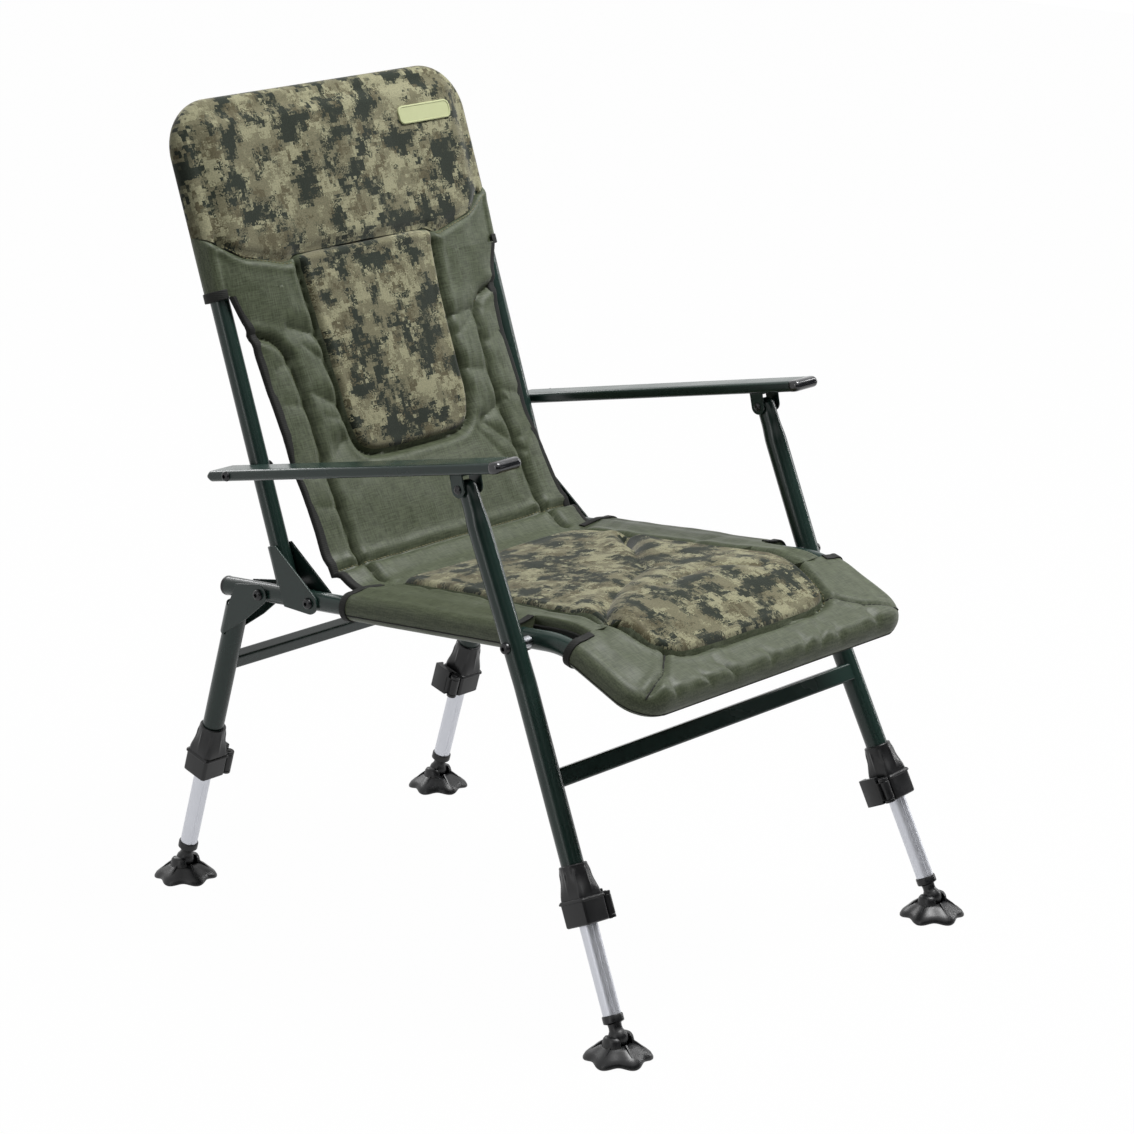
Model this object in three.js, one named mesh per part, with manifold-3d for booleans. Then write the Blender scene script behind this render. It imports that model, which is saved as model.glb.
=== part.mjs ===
import * as THREE from "three";
import { mergeVertices } from "three/addons/utils/BufferGeometryUtils.js";
import Module from "manifold-3d";

// A folding bank chair in millimetres, +Z up, facing -Y.
// The origin is on the ground under the middle of the chair.
// A place called ahead is measured along the seat rails from the back hinge towards the front.

const wasm = await Module();
wasm.setup();

// Tubes and clearances
const railTube = 22;
const railWall = 1.5;
const legTube = 25;
const legWall = 1.5;
const innerTube = 20;
const innerWall = 1.5;
const seatedGap = 0.3;
const overrun = 3;

// Whole frame
const frameHalfWidth = 216.5;
const backHinge = { y: 134.5, z: 389.6 };
const railPitch = THREE.MathUtils.degToRad(4.1);
const backLean = THREE.MathUtils.degToRad(18.4);

// Seat rails
const railEndBehind = 145.5;
const rearHingeBehind = 80.6;
const legPivotAhead = 332.2;
const frontTubeAhead = 479.5;
const frontTubeDrop = 54;
const frontDropAngle = THREE.MathUtils.degToRad(28.5);
const frontDropRadius = 120;
const frontCornerRadius = 45;
const plugFlange = 3.5;
const plugDepth = 12;

// Back tube
const backTubeOffset = 38.5;
const backTubeFoot = 34;
const backTubeTop = 563;
const backCornerRadius = 65;

// Back gusset, a folded channel that straddles the rail
const backGussetSheet = 2.5;
const backGussetEndRadius = 13;
const backGussetTop = 71;
const backGussetTipDepth = 9;
const backGussetHeel = 1.5;
const channelBehindTube = 2.5;

// Rear leg gusset
const legGussetSheet = 1.6;
const legGussetEndRadius = 12;
const legGussetTail = 75;
const legGussetCrown = 5.5;
const legGussetKneeDrop = 31;
const legGussetCrownInset = 4.5;
const legGussetChin = { y: 10.6, z: -37.6 };

// Bolts
const boltShank = 8;
const boltHead = 13;
const boltHeadHeight = 4.5;
const nutWidth = 13;
const nutHeight = 6;
const pivotSpacer = 13;

// Armrests
const armStandoff = 33;
const armOffset = frameHalfWidth + armStandoff;
const armPivot = { y: 221.4, z: 529 };
const armPitch = THREE.MathUtils.degToRad(11);
const armWidth = 40;
const armThickness = 12.5;
const armWall = 1.5;
const armEdge = 2.5;
const armTail = 33;
const armReach = 408.5;
const armTailSolid = 8;
const armCapLength = 13;
const armCapPlug = 16;

// Clevis under the armrest
const clevisFromNose = 54;
const clevisAhead = armReach - clevisFromNose;
const clevisDrop = 22.5;
const clevisWidth = 30;
const clevisSheet = 2;
const clevisEar = 18;
const rivetShank = 6;
const rivetHead = 9;
const rivetHeadHeight = 2;
const rivetTail = 2.5;

// Front legs
const frontBend = { y: -213, z: 374.1 };
const frontLegTop = { y: -130.9, z: 574.6 };
const frontSplay = 26.1;
const frontFoot = { x: armOffset + frontSplay, y: -367.8 };
const ballHeight = 24;
const frontBendRadius = 90;
const tongueWidth = 23;
const tongueThickness = 20;
const tongueNeck = 24;
const tongueShoulder = 6;
const tongueCrown = 9;
const tongueEaseShare = Math.sqrt(3) / 2;

// Rear legs
const rearFoot = { y: 367.8 };
const rearLegOffset = 39.3;
const rearLegHead = 37;

// Cross bars
const frontBarTube = 20;
const rearBarTube = 16;
const barWall = 1.5;
const barEdge = 2.5;
const frontBarDrop = 105.5;
const rearBarAboveBall = 274.5;

// Leg locks
const lockAboveBall = 188;
const lockCollar = 31;
const lockCollarLength = 36;
const lockBlock = 35;
const lockBlockHeight = 29;
const lockEdge = 4;
const lockRibWidth = 5;
const lockRibReach = 5;
const lockOverlap = 12;
const leverPinInset = 6;
const leverPin = 4;
const leverEye = 12;
const leverLug = 3.5;
const leverPlate = 6;
const leverGrip = 11;
const leverStandoff = 0.5;

// Inner legs and feet
const innerTubeInside = 130;
const ferrule = 23;
const ferruleHeight = 8;
const ferruleAboveBall = 17;
const stemNeck = 15;
const stemPlug = 12;
const ball = 22;
const footWidth = 75;
const footHeight = 28;
const footCrown = 36;
const footRimHeight = 9;
const footSkin = 4;
const footLobes = 6;
const footLobePoints = 3;
const footTurn = THREE.MathUtils.degToRad(12);
const footLobeShare = 0.07;
const footBallGap = 0.4;
const footSlot = 17;
const footBossHeight = 12;

// Seat pad
const sleeveThickness = 4.2;
const seatPadRear = 52;
const seatTop = 13;
const seatUnder = 9;
const seatRearTop = 10;
const seatRearLength = 60;
const seatPanelInset = 61.5;
const seatPanelHalfWidth = frameHalfWidth - seatPanelInset;
const seatPanelRear = 40;
const seatPanelFront = 452;
const seatPanelCrown = 5;
const seamDepth = 3.5;
const seamWidth = 7;
const creaseOverhang = 3;
const creaseFarInset = 21;
const creaseNear = { x: -seatPanelHalfWidth - creaseOverhang, ahead: 390 };
const creaseFar = { x: seatPanelHalfWidth - creaseFarInset, ahead: 155 };
const creaseFadeShare = 0.35;
const legSlotStart = 314;
const legSlotEnd = 388;
const legSlotInset = 18.5;
const legSlotHalfWidth = frameHalfWidth - legSlotInset;

// Lumbar flap, the loose cloth between seat and back. Its front face is given in the seat's plane,
// then in the back's
const flapThickness = 8;
const flapSeatInset = 24.5;
const flapSeamInset = 20.5;
const waistInset = 28.5;
const flapSeatHalfWidth = frameHalfWidth - flapSeatInset;
const flapSeamHalfWidth = frameHalfWidth - flapSeamInset;
const waistHalfWidth = frameHalfWidth - waistInset;
const flapHem = { ahead: 51.5, up: 10 };
const flapRise = { ahead: 38, up: 15 };
const flapFold = { ahead: 24, up: 25 };
const flapSeam = { ahead: 11, up: 31 };
const flapRoot = { ahead: 9, up: 44 };
const flapLower = { ahead: 3, up: 80 };
const flapUpper = { ahead: -2, up: 115 };
const flapTop = { ahead: -9, up: 149.5 };
const flapOverSeat = [flapHem, flapRise, flapFold, flapSeam];
const flapOverBack = [flapRoot, flapLower, flapUpper, flapTop];

// Back pad
const backPadFoot = flapTop.up + seatedGap;
const backPadShoulder = 349;
const shoulderInset = 13.5;
const shoulderHalfWidth = frameHalfWidth - shoulderInset;
const backPadFlare = 260;
const backSleeveStart = 354;
const headSeam = 396;
const backPadFootDepth = 29;
const backPadShoulderDepth = 22;
const backPadEdgeDrop = 4;
const backPadThickness = 12;
const backPadRim = 14;
const backPadBehind = 11;
const backPanelInset = 112.5;
const backPanelHalfWidth = frameHalfWidth - backPanelInset;
const backPanelFoot = 145;
const backPanelCrown = 5;
const backChannelInset = 65.5;
const backChannelHalfWidth = frameHalfWidth - backChannelInset;

// Headrest
const headSleeveThickness = 4;
const headCrown = 10;
const headBelly = 5;
const badgeWidth = 86;
const badgeHeight = 22;
const badgeThickness = 2;
const badgeInset = 71.5;
const badgeAcross = frameHalfWidth - badgeInset;
const badgeUp = 520;
const badgeCorner = 8;

// Facets
const cutReachShare = 3;
const tubeFacets = 12;
const roundFacets = 10;
const bendSteps = 3;
const backBendSteps = 4;

const sides = { left: -1, right: 1 };
const xAxis = new THREE.Vector3(1, 0, 0);
const zAxis = new THREE.Vector3(0, 0, 1);
const half = 0.5;
const quarterTurn = Math.PI / 2;
const fullTurn = Math.PI * 2;

// Finishes
function finish(color, roughness, metalness) {
  return new THREE.MeshStandardMaterial({ color, roughness, metalness });
}
const greenPaint = finish(0x3a4a45, 0.42, 0.3);
const satinAluminium = finish(0xc9cbd0, 0.35, 0.9);
const blackPlastic = finish(0x1e1f22, 0.55, 0);
const glossPlastic = finish(0x2b2d31, 0.3, 0);
const blackSteel = finish(0x1a1b1d, 0.3, 0.7);
const brightSteel = finish(0xb9bcc0, 0.25, 0.9);
const oliveNylon = finish(0x5a5e48, 0.85, 0);
const camoFleece = finish(0x827f66, 0.95, 0);
const badgeRubber = finish(0xb9bb8e, 0.6, 0);

// Booleans
function toSolid(geometry) {
  const bare = geometry.clone();
  bare.deleteAttribute("normal");
  bare.deleteAttribute("uv");
  const merged = mergeVertices(bare);
  const mesh = new wasm.Mesh({
    numProp: 3,
    vertProperties: new Float32Array(merged.attributes.position.array),
    triVerts: new Uint32Array(merged.index.array),
  });
  return new wasm.Manifold(mesh);
}

function fromSolid(solid) {
  const mesh = solid.getMesh();
  const geometry = new THREE.BufferGeometry();
  geometry.setAttribute("position", new THREE.BufferAttribute(mesh.vertProperties, 3));
  geometry.setIndex(new THREE.BufferAttribute(mesh.triVerts, 1));
  geometry.computeVertexNormals();
  return geometry;
}

function cut(geometry, ...tools) {
  const solid = tools.reduce((body, tool) => body.subtract(toSolid(tool)), toSolid(geometry));
  return fromSolid(solid);
}

function join(geometry, ...others) {
  const solid = others.reduce((body, other) => body.add(toSolid(other)), toSolid(geometry));
  return fromSolid(solid);
}

function common(geometry, other) {
  return fromSolid(toSolid(geometry).intersect(toSolid(other)));
}

// Basic shapes
function rodX(diameter, length, x = 0, y = 0, z = 0) {
  const rod = new THREE.CylinderGeometry(diameter * half, diameter * half, length, roundFacets);
  return rod.rotateZ(quarterTurn).translate(x, y, z);
}

function rodZ(diameter, top, bottom, y = 0) {
  const rod = new THREE.CylinderGeometry(diameter * half, diameter * half, top - bottom, tubeFacets);
  return rod.rotateX(quarterTurn).translate(0, y, (top + bottom) * half);
}

// Half the angle that one facet takes up
function halfSector(facets) {
  return Math.PI / facets;
}

// Holes are drawn round the outside of their circle, so that a shaft of any facets fits
function holeX(diameter, length, x = 0, y = 0, z = 0) {
  return rodX((diameter + seatedGap * 2) / Math.cos(halfSector(roundFacets)), length, x, y, z);
}

function holeZ(diameter, top, bottom) {
  return rodZ((diameter + seatedGap * 2) / Math.cos(halfSector(tubeFacets)), top, bottom);
}

// Radius of a plug that fits inside a faceted tube
function plugRadius(tubeInside) {
  return tubeInside * half * Math.cos(halfSector(tubeFacets)) - seatedGap;
}

function block(low, high) {
  const size = new THREE.Vector3().subVectors(high, low);
  const box = new THREE.BoxGeometry(size.x, size.y, size.z);
  return box.translate((low.x + high.x) * half, (low.y + high.y) * half, (low.z + high.z) * half);
}

function vector(x, y, z) {
  return new THREE.Vector3(x, y, z);
}

function circle(radius) {
  const shape = new THREE.Shape();
  shape.absarc(0, 0, radius, 0, fullTurn, false);
  return shape;
}

function ring(outer, inner) {
  const shape = circle(outer);
  shape.holes.push(circle(inner));
  return shape;
}

function roundedRectangle(width, height, radius) {
  const shape = new THREE.Shape();
  const x = width * half - radius;
  const y = height * half - radius;
  shape.absarc(x, y, radius, 0, quarterTurn, false);
  shape.absarc(-x, y, radius, quarterTurn, Math.PI, false);
  shape.absarc(-x, -y, radius, Math.PI, -quarterTurn, false);
  shape.absarc(x, -y, radius, -quarterTurn, 0, false);
  shape.closePath();
  return shape;
}

function prismX(shape, width, segments = 4) {
  const options = { depth: width, bevelEnabled: false, curveSegments: segments };
  const prism = new THREE.ExtrudeGeometry(shape, options);
  return prism.translate(0, 0, -width * half).rotateY(quarterTurn).rotateX(quarterTurn);
}

function prismZ(shape, top, bottom, segments = 4) {
  const options = { depth: top - bottom, bevelEnabled: false, curveSegments: segments };
  return new THREE.ExtrudeGeometry(shape, options).translate(0, 0, bottom);
}

// A curve through chosen stations, so that straight runs take no extra rings
class StationCurve extends THREE.Curve {
  constructor(stations) {
    super();
    this.stations = stations;
    this.steps = stations.length - 1;
  }
  getUtoTmapping(u) {
    return u;
  }
  getPoint(t) {
    const place = t * this.steps;
    const index = Math.min(Math.floor(place), this.steps - 1);
    const from = this.stations[index].point;
    return from.clone().lerp(this.stations[index + 1].point, place - index);
  }
  getTangent(t) {
    return this.stations[Math.round(t * this.steps)].tangent.clone();
  }
}

function bentPath(corners, radius, steps) {
  const first = new THREE.Vector3().subVectors(corners[1], corners[0]).normalize();
  const stations = [{ point: corners[0].clone(), tangent: first }];
  for (let i = 1; i < corners.length - 1; i += 1) {
    const inward = new THREE.Vector3().subVectors(corners[i], corners[i - 1]).normalize();
    const outward = new THREE.Vector3().subVectors(corners[i + 1], corners[i]).normalize();
    const turn = inward.angleTo(outward);
    const setback = radius[i - 1] * Math.tan(turn * half);
    const axis = new THREE.Vector3().crossVectors(inward, outward).normalize();
    const start = corners[i].clone().addScaledVector(inward, -setback);
    const centreward = new THREE.Vector3().crossVectors(axis, inward);
    const centre = start.clone().addScaledVector(centreward, radius[i - 1]);
    for (let k = 0; k <= steps; k += 1) {
      const angle = (turn * k) / steps;
      const spoke = start.clone().sub(centre).applyAxisAngle(axis, angle);
      const tangent = inward.clone().applyAxisAngle(axis, angle);
      stations.push({ point: centre.clone().add(spoke), tangent });
    }
  }
  const last = corners[corners.length - 1];
  const end = new THREE.Vector3().subVectors(last, corners[corners.length - 2]).normalize();
  stations.push({ point: last.clone(), tangent: end });
  return new StationCurve(stations);
}

function sweep(shape, path) {
  return new THREE.ExtrudeGeometry(shape, {
    steps: path.steps,
    extrudePath: path,
    curveSegments: tubeFacets * half,
    bevelEnabled: false,
  });
}

// A closed body through rings of points, with a flat cap at each end
function loft(rings) {
  const count = rings[0].length;
  const points = rings.flat();
  const index = [];
  for (let r = 0; r < rings.length - 1; r += 1) {
    for (let i = 0; i < count; i += 1) {
      const next = (i + 1) % count;
      const a = r * count + i;
      const b = r * count + next;
      const c = (r + 1) * count + next;
      const d = (r + 1) * count + i;
      index.push(a, b, c, a, c, d);
    }
  }
  for (const r of [0, rings.length - 1]) {
    const start = r * count;
    const turned = r === 0;
    const middle = new THREE.Vector3();
    rings[r].forEach((point) => middle.addScaledVector(point, 1 / count));
    points.push(middle);
    for (let i = 0; i < count; i += 1) {
      const next = (i + 1) % count;
      const pair = turned ? [start + next, start + i] : [start + i, start + next];
      index.push(...pair, points.length - 1);
    }
  }
  const geometry = new THREE.BufferGeometry().setFromPoints(points);
  geometry.setIndex(index);
  geometry.computeVertexNormals();
  return geometry;
}

function ellipseRing(z, width, depth) {
  return Array.from({ length: tubeFacets }, (unused, i) => {
    const angle = (i / tubeFacets) * fullTurn;
    return vector(Math.cos(angle) * width * half, Math.sin(angle) * depth * half, z);
  });
}

// Angle at which a line from a point touches a circle round the origin
function touchAngle(point, radius, side) {
  const distance = Math.hypot(point.y, point.z);
  return Math.atan2(point.z, point.y) + side * Math.acos(radius / distance);
}

function mesh(name, geometry, material) {
  const piece = new THREE.Mesh(geometry, material);
  piece.name = name;
  return piece;
}

function groupAt(position, rotationX, ...children) {
  const group = new THREE.Group();
  group.position.copy(position);
  group.rotation.x = rotationX;
  group.add(...children);
  return group;
}

// A dome-head bolt along X with its nut, head towards +outward
function boltGeometry(headFace, nutFace, outward) {
  const r = boltShank * half;
  const head = boltHead * half;
  const nut = nutWidth * half;
  const profile = [
    [0, headFace + boltHeadHeight],
    [head * half, headFace + boltHeadHeight],
    [head, headFace + boltHeadHeight * half],
    [head, headFace],
    [r, headFace],
    [r, nutFace],
    [nut, nutFace],
    [nut, nutFace - nutHeight * half],
    [nut * half, nutFace - nutHeight],
    [0, nutFace - nutHeight],
  ];
  const points = profile.map(([radius, along]) => new THREE.Vector2(radius, along));
  const geometry = new THREE.LatheGeometry(points.reverse(), roundFacets);
  return geometry.rotateZ(-quarterTurn * outward);
}

// Seat frame: a U of tube with its front dropped, and its plugs
function seatFramePath() {
  const x = frameHalfWidth;
  const knee = frontTubeAhead - frontTubeDrop / Math.tan(frontDropAngle);
  const corners = [
    vector(-x, railEndBehind, 0),
    vector(-x, -knee, 0),
    vector(-x, -frontTubeAhead, -frontTubeDrop),
    vector(x, -frontTubeAhead, -frontTubeDrop),
    vector(x, -knee, 0),
    vector(x, railEndBehind, 0),
  ];
  const radius = [frontDropRadius, frontCornerRadius, frontCornerRadius, frontDropRadius];
  return bentPath(corners, radius, bendSteps);
}

function seatFrame() {
  const tube = sweep(ring(railTube * half, railTube * half - railWall), seatFramePath());
  const holes = [];
  for (const side of Object.values(sides)) {
    for (const y of [0, rearHingeBehind, -legPivotAhead]) {
      holes.push(holeX(boltShank, railTube + overrun * 2, side * frameHalfWidth, y));
    }
  }
  return mesh("seat_frame", cut(tube, ...holes), greenPaint);
}

function railPlug(name, side) {
  const plug = plugRadius(railTube - railWall * 2);
  const profile = [
    [0, 0],
    [plug, 0],
    [plug, plugDepth],
    [railTube * half, plugDepth],
    [railTube * half, plugDepth + plugFlange * half],
    [plug, plugDepth + plugFlange],
    [0, plugDepth + plugFlange],
  ];
  const points = profile.map(([radius, along]) => new THREE.Vector2(radius, along));
  const piece = mesh(`rail_plug_${name}`, new THREE.LatheGeometry(points, roundFacets), blackPlastic);
  piece.position.set(side * frameHalfWidth, railEndBehind + seatedGap - plugDepth, 0);
  return piece;
}

// Pads: two height fields, face 1 and face -1, closed round their rim
function pad(rows, columns, placePoint) {
  const faces = [1, -1].map((face) =>
    rows.map((row) => columns(row).map((x) => placePoint(row, x, face))),
  );
  const across = faces[0][0].length;
  const points = faces.flat(2);
  const start = rows.length * across;
  const index = [];
  const quad = (a, b, c, d) => index.push(a, b, c, a, c, d);
  for (let r = 0; r < rows.length - 1; r += 1) {
    for (let c = 0; c < across - 1; c += 1) {
      const a = r * across + c;
      quad(a, a + across, a + across + 1, a + 1);
      quad(start + a, start + a + 1, start + a + across + 1, start + a + across);
    }
    const left = r * across;
    const right = left + across - 1;
    quad(left, start + left, start + left + across, left + across);
    quad(right, right + across, start + right + across, start + right);
  }
  for (let c = 0; c < across - 1; c += 1) {
    const last = (rows.length - 1) * across + c;
    quad(c, c + 1, start + c + 1, start + c);
    quad(last, start + last, start + last + 1, last + 1);
  }
  const geometry = new THREE.BufferGeometry().setFromPoints(points);
  geometry.setIndex(index);
  geometry.computeVertexNormals();
  return geometry;
}

const rimAngleShares = [1, 0.7, 0.35];
const padColumnShares = [-0.88, -0.75, -0.69, -0.6, -0.4, -0.2, 0];
const padMinimumShare = 0.12;
const seatRowShares = [0.17, 0.24, 0.36, 0.43, 0.47, 0.51, 0.6, 0.7, 0.78, 0.83, 0.89];
const seatCornerShares = [0.45, 0.8];
const backRowShares = [0, 0.15, 0.35, 0.55, 0.75, 0.9, 1];
const headStraightShares = [0, 0.3, 0.65, 1];
const headCurveShares = [0.3, 0.6, 0.85, 1];

function padColumns(halfWidth, rim) {
  const edge = rimAngleShares.map((share) => -(halfWidth - rim + rim * Math.sin(share * quarterTurn)));
  const inner = padColumnShares.map((share) => (halfWidth - rim) * share);
  const left = [...edge, ...inner];
  const right = left.slice(0, -1).reverse().map((x) => -x);
  return [...left, ...right];
}

// Rows that close a rounded rim beyond its start, ending just short of its tip
function rimRows(start, rim) {
  const shares = [...rimAngleShares].reverse();
  shares[shares.length - 1] = 1 - padMinimumShare;
  return shares.map((share) => start + rim * Math.sin(share * quarterTurn));
}

// Height of a rounded rim, at its full size inside and near zero at the edge
function rimHeight(outside, rim) {
  const share = Math.min(Math.max(outside / rim, 0), 1);
  return rim * Math.max(Math.sqrt(1 - share * share), padMinimumShare);
}

function bell(distance, width) {
  return Math.exp(-((distance / width) ** 2));
}

function smooth(value, from, to) {
  return THREE.MathUtils.smoothstep(value, from, to);
}

// Seat pad: follows the rails, drops with them at the front and wraps the front tube
function seatPadPlace(ahead) {
  const knee = frontTubeAhead - frontTubeDrop / Math.tan(frontDropAngle);
  const bend = frontDropRadius * Math.tan(frontDropAngle * half);
  const start = knee - bend;
  const arc = frontDropRadius * frontDropAngle;
  const turn = THREE.MathUtils.clamp((ahead - start) / frontDropRadius, 0, frontDropAngle);
  const straight = Math.max(ahead - start - arc, 0);
  const base = Math.min(ahead, start);
  const y = base + frontDropRadius * Math.sin(turn) + straight * Math.cos(frontDropAngle);
  const z = -frontDropRadius * (1 - Math.cos(turn)) - straight * Math.sin(frontDropAngle);
  return { y: -y, z, turn };
}

function seatPadFrontAhead() {
  const knee = frontTubeAhead - frontTubeDrop / Math.tan(frontDropAngle);
  const bend = frontDropRadius * Math.tan(frontDropAngle * half);
  const slope = frontTubeDrop / Math.sin(frontDropAngle) - bend;
  return knee - bend + frontDropRadius * frontDropAngle + slope;
}

// Distance outside the rounded outline that the tube's axis makes in the pad's own plane
function outsideTube(x, along, halfWidth, end, corner) {
  const dx = Math.abs(x) - (halfWidth - corner);
  const dy = along - (end - corner);
  if (dy <= 0) return Math.max(Math.abs(x) - halfWidth, 0);
  return Math.max(Math.hypot(Math.max(dx, 0), dy) - corner, 0);
}

// Half width of a sleeve round that outline
function sleeveHalfWidth(along, halfWidth, end, corner, rim) {
  const rise = Math.max(along - (end - corner), 0);
  const reach = corner + rim;
  return halfWidth - corner + Math.sqrt(Math.max(reach * reach - rise * rise, 0));
}

// The sewn crease across the panel, deep at both ends and lost in the middle
function creaseAt(x, ahead) {
  const run = new THREE.Vector2(creaseFar.x - creaseNear.x, creaseFar.ahead - creaseNear.ahead);
  const from = new THREE.Vector2(x - creaseNear.x, ahead - creaseNear.ahead);
  const along = from.dot(run) / run.lengthSq();
  const across = from.cross(run) / run.length();
  const ends = smooth(Math.abs(along - half), half - creaseFadeShare, half);
  return bell(across, seamWidth) * ends;
}

function seatSurface(x, ahead, rim, frontAhead) {
  const outside = outsideTube(x, ahead, frameHalfWidth, frontAhead, frontCornerRadius);
  const inward = 1 - smooth(Math.abs(x), seatPanelHalfWidth, frameHalfWidth);
  const panelX = Math.abs(x) - seatPanelHalfWidth;
  const panelY = Math.max(seatPanelRear - ahead, ahead - seatPanelFront);
  const seam = Math.max(panelX, panelY);
  const crown = seatPanelCrown * smooth(-seam, 0, seatPanelHalfWidth * half);
  const grooves = seamDepth * Math.max(bell(seam, seamWidth), panelX < 0 ? creaseAt(x, ahead) : 0);
  const forward = smooth(ahead, seatPadRear, seatPadRear + seatRearLength);
  const rear = THREE.MathUtils.lerp(seatRearTop, seatTop, forward);
  const flat = THREE.MathUtils.lerp(rim, rear, inward);
  const full = rimHeight(outside, rim);
  const top = outside > 0 ? full : flat + crown - grooves;
  const under = outside > 0 ? full : THREE.MathUtils.lerp(rim, seatUnder, inward);
  return { top, under };
}

function seatPad() {
  const rim = railTube * half + sleeveThickness;
  const front = seatPadFrontAhead();
  const widthAt = (ahead) => sleeveHalfWidth(ahead, frameHalfWidth, front, frontCornerRadius, rim);
  const rows = [
    seatPadRear,
    ...seatRowShares.map((share) => share * front),
    ...seatCornerShares.map((share) => front - frontCornerRadius * (1 - share)),
    front,
    ...rimRows(front, rim),
  ];
  const place = (ahead, x, face) => {
    const { top, under } = seatSurface(x, ahead, rim, front);
    const height = face > 0 ? top : -under;
    const { y, z, turn } = seatPadPlace(ahead);
    return vector(x, y - Math.sin(turn) * height, z + Math.cos(turn) * height);
  };
  const body = pad(rows, (ahead) => padColumns(widthAt(ahead), rim), place);
  const tunnel = sweep(circle(railTube * half + seatedGap), seatFramePath());
  const slots = Object.values(sides).map((side) => {
    const near = side * legSlotHalfWidth;
    const far = side * (frameHalfWidth + rim + overrun);
    return block(
      vector(Math.min(near, far), -legSlotEnd, -rim * 2),
      vector(Math.max(near, far), -legSlotStart, rim * 2),
    );
  });
  return mesh("seat_pad", cut(body, tunnel, ...slots), oliveNylon);
}

// Lumbar flap: rows of front points relative to the back hinge, each with the width there
function flapRows() {
  const leaning = (lean) => ({ ahead, up }) => vector(0, -ahead, up).applyAxisAngle(xAxis, -lean);
  const seatRows = flapOverSeat.map(leaning(railPitch));
  const backRows = flapOverBack.map(leaning(backLean));
  const points = [...seatRows, ...backRows];
  const seam = seatRows.length - 1;
  const last = points.length - 1;
  return points.map((point, i) => {
    const before = points[Math.max(i - 1, 0)];
    const after = points[Math.min(i + 1, last)];
    const run = new THREE.Vector3().subVectors(after, before).normalize();
    const share = i < seam ? i / seam : (i - seam) / (last - seam);
    const from = i < seam ? flapSeatHalfWidth : flapSeamHalfWidth;
    const to = i < seam ? flapSeamHalfWidth : waistHalfWidth;
    return { point, behind: vector(0, run.z, -run.y), halfWidth: THREE.MathUtils.lerp(from, to, share) };
  });
}

function lumbarFlap() {
  const rim = flapThickness * half;
  const place = (row, x, face) => {
    const edge = rimHeight(Math.abs(x) - (row.halfWidth - rim), rim) / rim;
    const depth = flapThickness * half * (face > 0 ? 1 + edge : 1 - edge);
    return row.point.clone().setX(x).addScaledVector(row.behind, depth);
  };
  const body = pad(flapRows(), (row) => padColumns(row.halfWidth, rim), place);
  return mesh("lumbar_flap", body, oliveNylon);
}

// Back frame: an upturned U of tube
function backFramePath() {
  const x = frameHalfWidth;
  const y = backTubeOffset;
  const corners = [
    vector(-x, y, backTubeFoot),
    vector(-x, y, backTubeTop),
    vector(x, y, backTubeTop),
    vector(x, y, backTubeFoot),
  ];
  return bentPath(corners, [backCornerRadius, backCornerRadius], backBendSteps);
}

function armHoleInBack() {
  const dy = armPivot.y - backHinge.y;
  const dz = armPivot.z - backHinge.z;
  return vector(0, 0, dy * Math.sin(backLean) + dz * Math.cos(backLean));
}

function backFrame() {
  const tube = sweep(ring(railTube * half, railTube * half - railWall), backFramePath());
  const holes = Object.values(sides).map((side) =>
    holeX(boltShank, railTube + overrun * 2, side * frameHalfWidth, backTubeOffset, armHoleInBack().z),
  );
  return mesh("back_frame", cut(tube, ...holes), greenPaint);
}

// A gusset folded from sheet: two cheeks, joined round the tube that it holds
function gusset({ outline, tubeY, tube, sheet, wrapTop, wrapBottom }) {
  const inner = tube * half + seatedGap;
  const outer = inner + sheet;
  const reach = tubeY + outer + overrun;
  const cheeks = prismX(outline, outer * 2, roundFacets * half);
  const wrap = rodZ(outer * 2, wrapTop, wrapBottom, tubeY);
  const behind = block(
    vector(-outer - overrun, tubeY, wrapBottom),
    vector(outer + overrun, reach, wrapTop),
  );
  const far = reach * cutReachShare;
  const inside = block(vector(-inner, -far, -far), vector(inner, tubeY, far));
  const beside = block(vector(-inner, tubeY - overrun, -far), vector(inner, reach, far));
  const bore = rodZ(inner * 2, far, -far, tubeY);
  const sheetCheeks = cut(cheeks, inside, beside);
  const sheetWrap = cut(common(wrap, behind), bore);
  const pivot = holeX(boltShank, outer * 2 + overrun * 2);
  return cut(join(sheetCheeks, sheetWrap), pivot);
}

function backGussetOutline() {
  const r = backGussetEndRadius;
  const rear = backTubeOffset + channelBehindTube;
  const tip = { y: rear - backGussetTipDepth, z: backGussetTop };
  const heel = { y: rear, z: backGussetHeel };
  const shape = new THREE.Shape();
  shape.moveTo(heel.y, heel.z);
  shape.lineTo(rear, backGussetTop);
  shape.lineTo(tip.y, tip.z);
  shape.absarc(0, 0, r, touchAngle(tip, r, 1), fullTurn + touchAngle(heel, r, -1), false);
  shape.closePath();
  return shape;
}

// Where the rail's top or underside crosses the tube behind a hinge, in the tube's own frame
function railAcross(angle, behind, edge) {
  return behind * Math.tan(angle) + (edge * railTube * half) / Math.cos(angle);
}

function backGusset(name, side) {
  const outer = backTubeOffset + railTube * half + seatedGap + backGussetSheet;
  const wrapBottom = railAcross(backLean - railPitch, outer, 1) + seatedGap * 2;
  const geometry = gusset({
    outline: backGussetOutline(),
    tubeY: backTubeOffset,
    tube: railTube,
    sheet: backGussetSheet,
    wrapTop: backGussetTop,
    wrapBottom,
  });
  const piece = mesh(`back_gusset_${name}`, geometry, greenPaint);
  piece.position.x = side * frameHalfWidth;
  return piece;
}

// Back pad and headrest
function backHalfWidth(up) {
  return THREE.MathUtils.lerp(
    waistHalfWidth,
    shoulderHalfWidth,
    smooth(up, backPadFlare, backPadShoulder),
  );
}

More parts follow.
